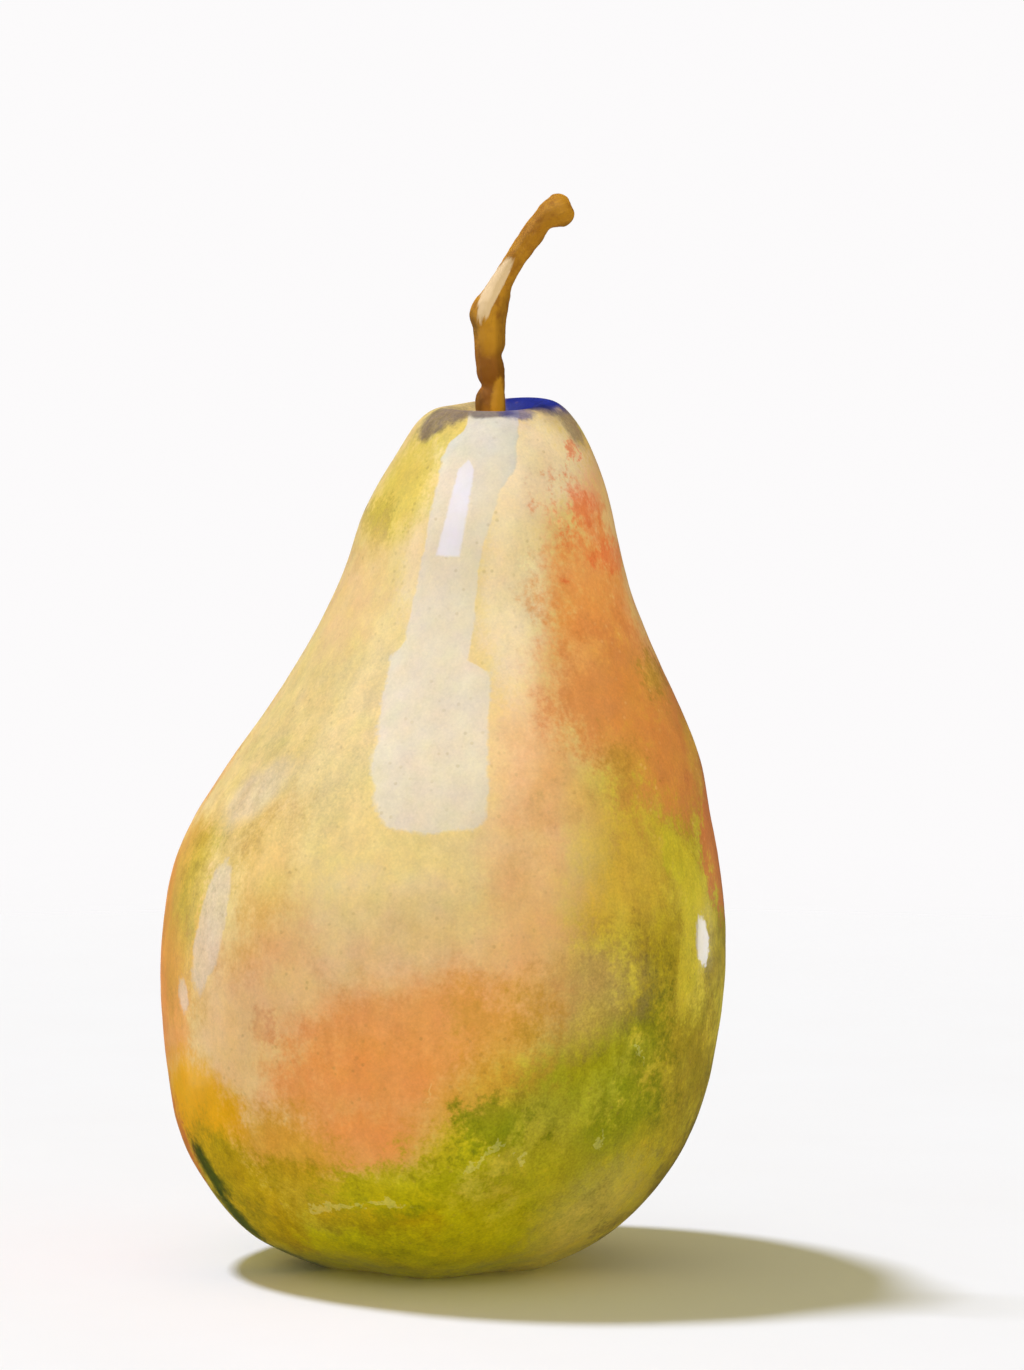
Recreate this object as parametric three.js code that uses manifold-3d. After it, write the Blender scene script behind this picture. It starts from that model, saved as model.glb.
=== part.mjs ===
// A ripe pear that stands on its calyx end, at its real size.
//
// Millimetres, +Z up. The origin is on the surface that the pear stands on, under the middle of its
// bounding box. The stem leans towards +X, and the pear's face is at -Y.
//
// Three solids: the fruit, which is flesh and skin in one; the woody stem, rooted in a socket in the
// top; and the calyx, the dried remains of the flower, in the basin underneath.

import * as THREE from "three";
import { mergeVertices } from "three/addons/utils/BufferGeometryUtils.js";
import Module from "manifold-3d";

const wasm = await Module();
wasm.setup();

// ---- Driving dimensions ----

const HEIGHT = 103.8; // the crest of the shoulder above the surface
const BELLY_RADIUS = 34; // at the widest place
const GAP = 0.35; // between a piece and the socket that it stands in

const CROWN_X = 6.2; // the middle of the crest, on top of the leaning neck
const CREST_TILT = 0.5; // how much higher the crest is at +X than in its middle
const STEM_X = 5.8; // where the stem stands
const STEM_ROOT_RADIUS = 1.6;
const STEM_FLOOR_HEIGHT = 100.6; // the floor of the stem cavity
const STEM_ROOT_HEIGHT = 96.6; // the buried end of the stem

const FOOT_X = -1.8; // the middle of the foot, which the belly overhangs more on the +X side
const FOOT_RADIUS = 12; // the ring that the pear stands on
const BASIN_RADIUS = 9.4; // where the basin wall runs out into the foot
const BASIN_HEIGHT = 6.4; // the ceiling of the calyx basin above the surface
const CUP_RADIUS = 2.7; // the calyx cup, let into that ceiling
const CUP_DEPTH = 2; // how far the cup goes up into the flesh

const LOBES = 5; // low swellings round the calyx end, one for each sepal
const LOBE_SWELL = 0.55; // how far a lobe stands out of the round
const FURROW_RISE = 0.4; // how far the foot lifts off the surface between two lobes
const NECK_SWELL = 0.45; // how far the neck's three soft ridges stand out
const BELLY_FLAT = 0.9; // how much less the belly reaches to the front and back than to the sides
const WAVE = 0.4; // a slow swelling that winds round the whole fruit

const FRUIT_SIDES = 80;
const FLANK_RINGS = 34;
const BASIN_STEPS = 7;

// ---- Small helpers ----

const smoothstep = THREE.MathUtils.smoothstep;

// A closed solid from a mesh, and a mesh's geometry from a solid.
function solidFrom(geometry) {
  const bare = geometry.clone();
  bare.deleteAttribute("normal");
  bare.deleteAttribute("uv");
  const merged = mergeVertices(bare, 1e-4);
  return new wasm.Manifold(
    new wasm.Mesh({
      numProp: 3,
      vertProperties: new Float32Array(merged.attributes.position.array),
      triVerts: new Uint32Array(merged.index.array),
    }),
  );
}

function geometryFrom(solid) {
  const { vertProperties, triVerts } = solid.getMesh();
  const geometry = new THREE.BufferGeometry();
  geometry.setAttribute("position", new THREE.BufferAttribute(new Float32Array(vertProperties), 3));
  geometry.setIndex(new THREE.BufferAttribute(new Uint32Array(triVerts), 1));
  geometry.computeVertexNormals();
  return geometry;
}

// Moves every vertex of a geometry by a function that gets the vertex and its index.
function reshape(geometry, move) {
  const place = geometry.attributes.position;
  const vertex = new THREE.Vector3();
  for (let i = 0; i < place.count; i++) {
    vertex.fromBufferAttribute(place, i);
    move(vertex, i);
    place.setXYZ(i, vertex.x, vertex.y, vertex.z);
  }
  geometry.computeVertexNormals();
  return geometry;
}

// ---- Fruit ----

// One ring of the fruit: its radius, its height, and how far its middle is off the Z axis along X.
const ring = (out, up, lean) => new THREE.Vector3(out, up, lean);

// The flank from the foot to the shoulder, as shares of the belly's radius and of the height.
const flank = new THREE.CatmullRomCurve3(
  [
    [0.448, 0.004, FOOT_X],
    [0.637, 0.0335, -1.7],
    [0.77, 0.082, -1.4],
    [0.897, 0.152, -1.0],
    [0.972, 0.246, -0.3],
    [1.0, 0.356, 0],
    [0.974, 0.456, 0.3],
    [0.907, 0.526, 1.2],
    [0.82, 0.596, 2.9],
    [0.695, 0.667, 3.9],
    [0.583, 0.736, 4.5],
    [0.494, 0.806, 5.0],
    [0.437, 0.877, 5.3],
    [0.388, 0.925, 5.5],
    [0.31, 0.967, 5.9],
  ].map(([out, up, lean]) => ring(out * BELLY_RADIUS, up * HEIGHT, lean)),
  false,
  "centripetal",
);

// The calyx socket and basin, from the middle of the socket's ceiling down to the foot.
function basinRings() {
  const socket = CUP_RADIUS + GAP;
  const ceiling = BASIN_HEIGHT + CUP_DEPTH + GAP;
  const rings = [
    ring(0, ceiling, FOOT_X),
    ring(socket, ceiling, FOOT_X),
    ring(socket, BASIN_HEIGHT, FOOT_X),
  ];
  const flare = 1.3; // above 1, the wall opens out towards the foot
  for (let i = 1; i <= BASIN_STEPS; i++) {
    const share = i / BASIN_STEPS;
    const out = socket + (BASIN_RADIUS - socket) * share;
    rings.push(ring(out, BASIN_HEIGHT * Math.cos((share * Math.PI) / 2) ** flare, FOOT_X));
  }
  return rings;
}

// The foot. It dips just below the surface, and shapeFruit cuts it off level under each lobe.
function footRings() {
  return [
    ring(FOOT_RADIUS - 1.6, -0.15, FOOT_X),
    ring(FOOT_RADIUS - 0.3, -0.2, FOOT_X),
    ring(FOOT_RADIUS + 1.2, -0.05, FOOT_X),
  ];
}

// Over the crest of the shoulder, down the wall of the stem cavity and into the stem's socket.
function crownRings() {
  const socket = STEM_ROOT_RADIUS + GAP;
  const socketFloor = STEM_ROOT_HEIGHT - GAP;
  return [
    ring(8.7, HEIGHT - 1.4, CROWN_X - 0.1),
    ring(7.4, HEIGHT - 0.4, CROWN_X),
    ring(6.1, HEIGHT, CROWN_X),
    ring(4.8, HEIGHT - 0.5, CROWN_X - 0.1),
    ring(3.9, HEIGHT - 1.5, STEM_X + 0.2),
    ring(3.1, HEIGHT - 2.6, STEM_X + 0.1),
    ring(socket, STEM_FLOOR_HEIGHT, STEM_X),
    ring(socket, socketFloor, STEM_X),
    ring(0, socketFloor, STEM_X),
  ];
}

// How far the skin stands off the round. It is nothing at +X and -X, so the side outline stays whole.
function swelling(angle, height) {
  const share = height / HEIGHT;
  const lobe = LOBE_SWELL * (1 - smoothstep(share, 0.02, 0.62));
  const neck = NECK_SWELL * smoothstep(share, 0.55, 0.8);
  const flat = BELLY_FLAT * (1 - smoothstep(share, 0.45, 0.8));
  return (
    -lobe * Math.sin(LOBES * angle) +
    neck * Math.sin(3 * angle) -
    flat * Math.sin(angle) ** 2 +
    WAVE * Math.sin(2 * angle) * Math.sin(6 * share)
  );
}

// Gives a vertex of the plain turned form its lean, its swellings, its furrows and its tilted crest.
function shapeFruit(vertex, middle) {
  const out = Math.hypot(vertex.x, vertex.y);
  const angle = Math.atan2(vertex.y, vertex.x);
  const onTop = vertex.z > HEIGHT / 2;
  const socket = GAP + (onTop ? STEM_ROOT_RADIUS : CUP_RADIUS);
  const open = smoothstep(out, socket, onTop ? 10.5 : FOOT_RADIUS); // 0 at the round sockets
  const radius = out + swelling(angle, vertex.z) * open;
  const furrow = ((1 + Math.sin(LOBES * angle)) / 2) * (1 - smoothstep(vertex.z, 0.3, BASIN_HEIGHT));
  const crest = smoothstep(vertex.z, HEIGHT - 5, HEIGHT) * smoothstep(out, 2.5, 5);
  const height = vertex.z + FURROW_RISE * furrow * open + CREST_TILT * crest * Math.cos(angle);
  vertex.set(middle + radius * Math.cos(angle), radius * Math.sin(angle), Math.max(height, 0));
}

function fruit() {
  const rings = [
    ...basinRings(),
    ...footRings(),
    ...flank.getSpacedPoints(FLANK_RINGS),
    ...crownRings(),
  ];
  const profile = rings.map((r) => new THREE.Vector2(r.x, r.y));
  const turned = new THREE.LatheGeometry(profile, FRUIT_SIDES);
  turned.rotateX(Math.PI / 2);
  return reshape(turned, (vertex, i) => shapeFruit(vertex, rings[i % rings.length].z));
}

// ---- Stem ----

// The stem's middle line with its radius: x, y, z, radius. It bends at a bud scar and ends in the
// flared pad where it parted from the twig.
const STEM_STATIONS = [
  [STEM_X, 0, STEM_ROOT_HEIGHT, 1.5],
  [STEM_X, 0, 100.8, STEM_ROOT_RADIUS],
  [5.8, 0, 103.6, 1.7],
  [5.85, 0, 106.0, 1.6],
  [5.7, -0.1, 108.8, 1.85],
  [5.4, -0.2, 112.2, 2.1],
  [5.65, -0.3, 114.6, 2.1],
  [6.8, -0.4, 117.4, 1.55],
  [8.15, -0.5, 119.8, 1.35],
  [9.6, -0.6, 122.2, 1.35],
  [11.4, -0.7, 124.6, 1.5],
  [13.1, -0.8, 126.1, 1.95],
  [14.5, -0.9, 127.0, 2.3],
];
const STEM_SIDES = 18;
const STEM_RINGS = 48;
const TIP_DOME = 0.5; // how far the middle of the flared end stands out
const BUD_SCAR = { along: 0.56, spread: 0.035, angle: Math.PI, out: 0.55 }; // outside the elbow

// Shallow ribs wind round the bark above the cavity. A rib's depth is a share of the radius.
const RIBS = [
  { count: 3, depth: 0.045, twist: 9 },
  { count: 5, depth: 0.035, twist: -4 },
];
const RIBS_FADE = [0.15, 0.25];

function stem() {
  const line = new THREE.CatmullRomCurve3(STEM_STATIONS.map(([x, y, z]) => new THREE.Vector3(x, y, z)));
  const radii = new THREE.SplineCurve(STEM_STATIONS.map(([, , , r], i) => new THREE.Vector2(i, r)));
  const across = new THREE.Vector3();
  const along = new THREE.Vector3();
  const away = new THREE.Vector3();
  const depth = new THREE.Vector3(0, 1, 0);
  const rod = new THREE.CylinderGeometry(1, 1, 1, STEM_SIDES, STEM_RINGS);
  return reshape(rod, (vertex) => {
    const t = vertex.y + 0.5;
    const angle = Math.atan2(vertex.z, vertex.x);
    const inMiddle = Math.hypot(vertex.x, vertex.z) < 0.5; // the middle of an end face
    line.getTangent(t, along);
    across.crossVectors(depth, along).normalize();
    away.crossVectors(across, along);
    let ribs = 1;
    for (const { count, depth: share, twist } of RIBS) {
      ribs += share * smoothstep(t, ...RIBS_FADE) * Math.cos(count * angle + twist * t);
    }
    const scar = BUD_SCAR.out * Math.exp(-(((t - BUD_SCAR.along) / BUD_SCAR.spread) ** 2)) *
      Math.max(0, Math.cos(angle - BUD_SCAR.angle)) ** 2;
    const radius = inMiddle ? 0 : radii.getPoint(t).y * ribs + scar;
    vertex
      .copy(line.getPoint(t))
      .addScaledVector(across, radius * Math.cos(angle))
      .addScaledVector(away, radius * Math.sin(angle))
      .addScaledVector(along, inMiddle && t > 0.5 ? TIP_DOME : 0);
  });
}

// ---- Calyx ----

const SEPAL_LENGTH = 5.6;
const SEPAL_WIDTH = 3.4;
const SEPAL_THICKNESS = 0.7;
const SEPAL_ROOT_SLANT = 0.35; // the blade's angle off straight down where it leaves the cup, in radians
const SEPAL_CURL = 0.95; // how much further it has turned at its tip, in radians
const STAMENS = { count: 15, out: 1.75, length: 3.6, radius: 0.22 };
const STYLES = { count: 5, out: 0.55, length: 4.3, radius: 0.26 };

// A sepal: a pointed, cupped blade that hangs from the cup's rim and curls out under the basin wall.
function sepal(index) {
  const blade = new THREE.BoxGeometry(SEPAL_LENGTH, SEPAL_WIDTH, SEPAL_THICKNESS, 7, 4, 1);
  const curl = SEPAL_CURL + 0.25 * Math.sin(2.3 * index); // each sepal has its own
  const bow = SEPAL_LENGTH / curl; // the radius of that curl
  reshape(blade, (vertex) => {
    const t = vertex.x / SEPAL_LENGTH + 0.5;
    const turned = SEPAL_ROOT_SLANT + curl * t;
    const out = CUP_RADIUS - 0.8 + bow * (Math.cos(SEPAL_ROOT_SLANT) - Math.cos(turned));
    const up = BASIN_HEIGHT - 1 - bow * (Math.sin(turned) - Math.sin(SEPAL_ROOT_SLANT));
    const across = vertex.y * (1 - 0.9 * t ** 1.7);
    const cupped = 0.12 * across ** 2;
    const waved = 0.3 * t * Math.cos(2 * Math.PI * (across / SEPAL_WIDTH) + index);
    const off = vertex.z + cupped + waved;
    vertex.set(out + off * Math.cos(turned), across, up + off * Math.sin(turned));
  });
  const turn = ((index + 0.5) / LOBES) * 2 * Math.PI;
  return solidFrom(blade.rotateZ(turn).translate(FOOT_X, 0, 0));
}

// A dried stamen or style: a thin stalk with a swollen end, leaning out of the cup.
function stalk({ turn, out, lean, length, radius }) {
  const stick = new THREE.CylinderGeometry(radius * 1.4, radius, length, 5, 2);
  stick.rotateX(-Math.PI / 2).translate(0, 0, -length / 2);
  stick.rotateY(-lean).translate(out, 0, BASIN_HEIGHT + 0.6).rotateZ(turn);
  return solidFrom(stick.translate(FOOT_X, 0, 0));
}

function calyx() {
  const top = BASIN_HEIGHT + CUP_DEPTH;
  const cup = new THREE.LatheGeometry(
    [
      [0, BASIN_HEIGHT - 0.3],
      [CUP_RADIUS - 1.2, BASIN_HEIGHT - 0.8],
      [CUP_RADIUS - 0.5, BASIN_HEIGHT - 1.4],
      [CUP_RADIUS, BASIN_HEIGHT - 0.9],
      [CUP_RADIUS, top - 0.3],
      [CUP_RADIUS - 0.3, top],
      [0, top],
    ].map(([x, y]) => new THREE.Vector2(x, y)),
    30,
  );
  cup.rotateX(Math.PI / 2).translate(FOOT_X, 0, 0);
  let whole = solidFrom(cup);
  for (let i = 0; i < LOBES; i++) whole = whole.add(sepal(i));
  for (let i = 0; i < STAMENS.count; i++) {
    const turn = (i / STAMENS.count) * 2 * Math.PI;
    const lean = 0.25 + 0.2 * Math.sin(5.1 * i);
    const length = STAMENS.length + 0.7 * Math.cos(3.7 * i);
    whole = whole.add(stalk({ ...STAMENS, turn, lean, length }));
  }
  for (let i = 0; i < STYLES.count; i++) {
    const turn = ((i + 0.5) / STYLES.count) * 2 * Math.PI;
    whole = whole.add(stalk({ ...STYLES, turn, lean: 0.12 }));
  }
  return geometryFrom(whole);
}

// ---- The pear ----

const materials = {
  skin: new THREE.MeshStandardMaterial({ color: 0xd6b45e, roughness: 0.42, metalness: 0 }),
  bark: new THREE.MeshStandardMaterial({ color: 0x9a6a2c, roughness: 0.75, metalness: 0 }),
  driedFlower: new THREE.MeshStandardMaterial({ color: 0x5b4730, roughness: 0.9, metalness: 0 }),
};

const pear = new THREE.Group();
for (const [name, geometry, material] of [
  ["fruit", fruit(), materials.skin],
  ["stem", stem(), materials.bark],
  ["calyx", calyx(), materials.driedFlower],
]) {
  const mesh = new THREE.Mesh(geometry, material);
  mesh.name = name;
  pear.add(mesh);
}

// The middle of the bounding box goes over the origin.
const middle = new THREE.Box3().setFromObject(pear).getCenter(new THREE.Vector3());
pear.position.set(-middle.x, -middle.y, 0);

export default pear;
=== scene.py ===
# %% [markdown]
# # A ripe pear, from the frame to the finished skin
#
# The frame holds three plain solids at their real size: the fruit, its woody stem and the dried
# calyx underneath. This lesson models each one again with the surface that the real one has, paints
# it with nodes alone, and puts the pear on a pale floor in soft light. Shapes are in metres, as in the
# frame, and finishes read millimetres.

# %% Load the frame
import math

import bmesh
import bpy
import numpy as np
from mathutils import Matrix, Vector


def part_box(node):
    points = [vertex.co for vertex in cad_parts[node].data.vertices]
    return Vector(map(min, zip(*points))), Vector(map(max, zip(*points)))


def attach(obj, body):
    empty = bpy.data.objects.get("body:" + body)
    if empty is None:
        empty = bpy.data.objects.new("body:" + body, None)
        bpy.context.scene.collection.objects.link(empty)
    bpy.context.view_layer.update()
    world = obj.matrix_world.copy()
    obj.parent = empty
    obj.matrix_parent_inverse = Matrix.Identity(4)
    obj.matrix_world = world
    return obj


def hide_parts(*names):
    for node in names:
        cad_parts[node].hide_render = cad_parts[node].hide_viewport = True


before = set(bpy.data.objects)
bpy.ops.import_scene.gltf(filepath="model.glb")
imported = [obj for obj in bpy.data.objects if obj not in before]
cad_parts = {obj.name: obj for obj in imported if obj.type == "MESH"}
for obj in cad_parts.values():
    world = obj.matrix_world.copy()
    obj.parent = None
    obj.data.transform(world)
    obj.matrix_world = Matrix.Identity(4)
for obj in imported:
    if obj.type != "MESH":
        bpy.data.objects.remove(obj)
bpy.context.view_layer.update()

# %% [markdown]
# ## Working by hand, in code
#
# Blender's operators act on whatever is selected, and loading a model leaves its nodes selected. So
# every piece starts from nothing selected, and each step in edit mode first says which vertices it
# means. These helpers do that.

# %% Helpers: what is selected
MM = 0.001  # lengths that are easier to think of in millimetres are multiplied by this


def clear_selection():
    if bpy.context.mode != "OBJECT":
        bpy.ops.object.mode_set(mode="OBJECT")
    bpy.ops.object.select_all(action="DESELECT")


def select_only(piece):
    clear_selection()
    piece.select_set(True)
    bpy.context.view_layer.objects.active = piece


def open_piece(piece, test=None):
    """Opens a piece in edit mode with the vertices selected that pass the test, or all of them."""
    select_only(piece)
    bpy.ops.object.mode_set(mode="EDIT")
    bpy.ops.mesh.select_mode(type="VERT")
    bpy.ops.mesh.select_all(action="SELECT" if test is None else "DESELECT")
    if test is not None:
        edit = bmesh.from_edit_mesh(piece.data)
        for vertex in edit.verts:
            vertex.select = bool(test(vertex.co))
        edit.select_flush_mode()
        bmesh.update_edit_mesh(piece.data)


# %% [markdown]
# The round pieces of a pear all begin in the same way: as a circle that is extruded again and again,
# each new ring resized about its middle. At the end of its modelling a piece is closed, so its faces
# can be turned outwards, and it gets its fine shape from modifiers, which are applied at once.

# %% Helpers: rings and modifiers
def name_new(name):
    piece = bpy.context.object
    piece.name = piece.data.name = name
    return piece


def start_ring(name, sides, radius, centre):
    """Adds a circle as a new piece, brings it to its centre in edit mode and leaves it selected."""
    clear_selection()
    bpy.ops.mesh.primitive_circle_add(vertices=sides, radius=radius, location=(0, 0, 0))
    piece = name_new(name)
    open_piece(piece)
    bpy.ops.transform.translate(value=centre)
    return piece


def next_ring(step, ratio, centre):
    """Extrudes what is selected by a step and resizes it about its new centre."""
    bpy.ops.mesh.extrude_region_move(TRANSFORM_OT_translate={"value": step})
    bpy.ops.transform.resize(value=ratio, center_override=centre)


def face_outwards(piece):
    open_piece(piece)
    bpy.ops.mesh.normals_make_consistent(inside=False)
    clear_selection()


def finish_with(piece, kind, **settings):
    """Adds a modifier to a piece and applies it."""
    select_only(piece)
    modifier = piece.modifiers.new(kind.title(), kind)
    for name, value in settings.items():
        setattr(modifier, name, value)
    bpy.ops.object.modifier_apply(modifier=modifier.name)


def subdivide(piece, levels):
    finish_with(piece, "SUBSURF", levels=levels, render_levels=levels)


def roughen(piece, name, size, height):
    """Moves the surface in and out by clouds whose lumps have this size and height."""
    clouds = bpy.data.textures.new(name, "CLOUDS")
    clouds.noise_scale = size
    finish_with(piece, "DISPLACE", texture=clouds, strength=height, mid_level=0.5, texture_coords="LOCAL")


# %% [markdown]
# ## Smooth lines through a few stations
#
# A pear's flank and its stem are easiest to describe by a handful of cross-sections: how wide it is
# at that height, and how far its middle has wandered. A Catmull-Rom curve runs through all of them
# and can be cut into as many rings as the mesh needs. Two other ways are a Bezier curve, whose
# handles would have to be worked out, and letting subdivision round off a coarse mesh, which pulls
# the surface in from the stations.

# %% Helper: a curve through stations
SPAN_SAMPLES = 40  # how finely each span is measured before it is cut


def through(stations, count):
    """A Catmull-Rom curve through the stations, cut into count rings of about equal spacing."""
    points = np.array(stations, float)
    points = np.vstack([2 * points[0] - points[1], points, 2 * points[-1] - points[-2]])
    dense = []
    for a, b, c, d in zip(points, points[1:], points[2:], points[3:]):
        for t in np.linspace(0, 1, SPAN_SAMPLES, endpoint=False):
            bend = (2 * a - 5 * b + 4 * c - d) * t**2
            twist = (3 * b - a - 3 * c + d) * t**3
            dense.append((2 * b + (c - a) * t + bend + twist) / 2)
    dense = np.array(dense + [points[-2]])
    steps = np.linalg.norm(np.diff(dense, axis=0), axis=1)
    run = np.concatenate([[0], np.cumsum(steps)])
    places = np.linspace(0, run[-1], count)
    return [np.array([np.interp(place, run, column) for column in dense.T]) for place in places]


def smoothstep(value, start, end):
    share = min(max((value - start) / (end - start), 0), 1)
    return share * share * (3 - 2 * share)


# %% [markdown]
# ## The fruit as a tower of rings
#
# The flesh of a pear grows round five seed chambers, so its calyx end has five low lobes with
# furrows between them, and it stands on those lobes. Above the belly it narrows to a neck that here
# leans to one side, and the shoulder closes in round the stem. A sculpted sphere could give this
# form, but not at a stated size. So a circle is extruded ring by ring, from inside the calyx basin,
# round the foot, up the flank, over the shoulder and down into the stem cavity, and each ring is
# resized and moved as it goes.

# %% The fruit's dimensions
fruit_low, fruit_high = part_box("fruit")
BELLY_RADIUS = (fruit_high.x - fruit_low.x) / 2
CREST_TILT = 0.4 * MM  # how much higher the crest is on the right than on the left
CREST_NOD = 0.5 * MM  # how much it dips in front and rises behind, on the right
HEIGHT = fruit_high.z - CREST_TILT  # the crest of the shoulder
CROWN_X = 6.2 * MM  # the middle of the crest
STEM_X = 5.8 * MM
FOOT_X = -1.8 * MM  # the middle of the foot
FOOT_RADIUS = 12 * MM
BASIN_HEIGHT = 6.4 * MM
BASIN_RADIUS = 9.4 * MM
BASIN_ROUNDING = 1.3  # above 1, the basin's wall flares out where it meets the foot
CUP_RADIUS = 2.7 * MM
LOBES = 5
SIDES = 64
FLANK_RINGS = 32
BASIN_STEPS = 6
print("belly radius in mm:", round(BELLY_RADIUS * 1000, 2))

# %% The fruit's flank
# Of each station: radius as a share of the belly's, height as a share of the whole, lean in millimetres.
FLANK = [
    (0.43, 0.004, -1.6),
    (0.62, 0.0335, -1.7),
    (0.769, 0.082, -1.3),
    (0.902, 0.152, -0.9),
    (0.972, 0.246, -0.3),
    (1.0, 0.356, 0),
    (0.974, 0.456, 0.3),
    (0.907, 0.526, 1.2),
    (0.82, 0.596, 2.9),
    (0.695, 0.667, 3.9),
    (0.583, 0.736, 4.5),
    (0.494, 0.806, 5.0),
    (0.437, 0.877, 5.3),
    (0.371, 0.925, 6.2),
    (0.306, 0.967, 6.3),
]

# %% List the rings
# Radius, height and middle of each ring.
basin = [(2.2 * MM, BASIN_HEIGHT + 1.2 * MM, FOOT_X), (CUP_RADIUS, BASIN_HEIGHT, FOOT_X)]
for step in range(1, BASIN_STEPS + 1):
    share = step / BASIN_STEPS
    wall = CUP_RADIUS + (BASIN_RADIUS - CUP_RADIUS) * share
    basin.append((wall, BASIN_HEIGHT * math.cos(share * math.pi / 2) ** BASIN_ROUNDING, FOOT_X))
foot = [
    (FOOT_RADIUS - 1.6 * MM, -0.2 * MM, FOOT_X),
    (FOOT_RADIUS - 0.3 * MM, -0.3 * MM, FOOT_X),
    (FOOT_RADIUS + 1.2 * MM, -0.15 * MM, FOOT_X),
]
flank = through([(out * BELLY_RADIUS, up * HEIGHT, lean * MM) for out, up, lean in FLANK], FLANK_RINGS)
crown = [
    (8.75 * MM, HEIGHT - 1.3 * MM, CROWN_X - 0.1 * MM),
    (7.4 * MM, HEIGHT - 0.3 * MM, CROWN_X),
    (6.1 * MM, HEIGHT + 0.05 * MM, CROWN_X),
    (4.9 * MM, HEIGHT - 0.45 * MM, CROWN_X - 0.1 * MM),
    (4.0 * MM, HEIGHT - 1.4 * MM, STEM_X + 0.2 * MM),
    (3.1 * MM, HEIGHT - 2.3 * MM, STEM_X + 0.1 * MM),
    (2.3 * MM, HEIGHT - 2.6 * MM, STEM_X),
    (1.7 * MM, HEIGHT - 2.2 * MM, STEM_X),
    (1.0 * MM, HEIGHT - 2.4 * MM, STEM_X),
]
rings = [tuple(ring) for ring in [*basin, *foot, *flank, *crown]]
print(len(rings), "rings from the calyx to the stem")

# %% [markdown]
# ## Lobes, ridges and furrows
#
# No pear is round. The lobes have to come out at exactly a fifth of a turn from each other, each
# above its sepal, and fade away towards the neck, where three soft ridges take over. Dragging them
# out with proportional editing can't repeat a lobe exactly, so the ring that has just been extruded
# gets them from a formula, while it is still the selected one.

# %% Helper: shape the ring that is selected
LOBE_SWELL = 0.55 * MM
FURROW_RISE = 0.4 * MM
NECK_SWELL = 0.45 * MM
BELLY_FLAT = 0.9 * MM  # how much less the belly reaches to the front and back than to the sides
WAVE = 0.4 * MM  # a slow swelling that winds round the whole fruit
WAVE_CLIMB = 6  # how fast it winds, in radians over the height
# Between which shares of the height the lobes fade, the neck's ridges grow and the belly turns round.
LOBES_FADE = (0.02, 0.62)
NECK_GROWS = (0.55, 0.8)
FLAT_FADES = (0.45, 0.8)
# Between which radii the forms reach their full size, round the stem and round the calyx.
ROUND_STEM = (2 * MM, 10.5 * MM)
ROUND_CALYX = (CUP_RADIUS, FOOT_RADIUS)
FURROWS_FADE = (0.3 * MM, BASIN_HEIGHT)  # between these heights
# How far below the crest its tilt and nod begin, and between which radii.
CREST_DEPTH = 5 * MM
CREST_WIDTH = (2.5 * MM, 5 * MM)


def swelling(angle, height):
    share = height / HEIGHT
    lobe = LOBE_SWELL * (1 - smoothstep(share, *LOBES_FADE))
    neck = NECK_SWELL * smoothstep(share, *NECK_GROWS)
    flat = BELLY_FLAT * (1 - smoothstep(share, *FLAT_FADES))
    wave = WAVE * math.sin(2 * angle) * math.sin(WAVE_CLIMB * share)
    return wave + neck * math.sin(3 * angle) - lobe * math.sin(LOBES * angle) - flat * math.sin(angle) ** 2


def shape_ring(piece, out, up, middle):
    open_skin = smoothstep(out, *(ROUND_STEM if up > HEIGHT / 2 else ROUND_CALYX))
    low = 1 - smoothstep(up, *FURROWS_FADE)
    crest = smoothstep(up, HEIGHT - CREST_DEPTH, HEIGHT) * smoothstep(out, *CREST_WIDTH)
    edit = bmesh.from_edit_mesh(piece.data)
    for vertex in edit.verts:
        if vertex.select:
            angle = math.atan2(vertex.co.y, vertex.co.x - middle)
            radius = out + swelling(angle, up) * open_skin
            furrow = (1 + math.sin(LOBES * angle)) / 2
            nod = CREST_NOD * math.sin(angle) * (1 + math.cos(angle)) / 2
            height = up + FURROW_RISE * furrow * low * open_skin
            height += (CREST_TILT * math.cos(angle) + nod) * crest
            vertex.co = (middle + radius * math.cos(angle), radius * math.sin(angle), height)
    bmesh.update_edit_mesh(piece.data)


# %% Extrude the fruit
out, up, middle = rings[0]
fruit = start_ring("pear_fruit", SIDES, out, (middle, 0, up))
shape_ring(fruit, out, up, middle)
for before, ring in zip(rings, rings[1:]):
    out, up, middle = ring
    wider = out / before[0]
    next_ring((middle - before[2], 0, up - before[1]), (wider, wider, 1), (middle, 0, up))
    shape_ring(fruit, out, up, middle)
bpy.ops.mesh.merge(type="CENTER")
ceiling = Vector((FOOT_X, 0, rings[0][1]))
open_piece(fruit, lambda place: (place - ceiling).length < CUP_RADIUS)
bpy.ops.mesh.merge(type="CENTER")
face_outwards(fruit)
print("fruit:", len(fruit.data.vertices), "vertices in the cage")

# %% [markdown]
# ## From a smooth cage to skin that has grown
#
# Subdivision rounds the cage off. The real surface is never that even: it has slow hollows and
# swellings a thumb wide, shallow lumps the size of a pea, and a dimple or two where a twig or
# another pear pressed on it. Two Displace modifiers with Clouds textures give the first two, and
# the dimples are pushed in with proportional editing before the cage is subdivided. Last, whatever
# dips below the surface that the pear stands on is pressed flat, and the piece is brought into the
# box of its solid.

# %% Press the dimples
ONE_VERTEX = 0.1 * MM  # far less than the distance between two vertices of the cage
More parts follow.
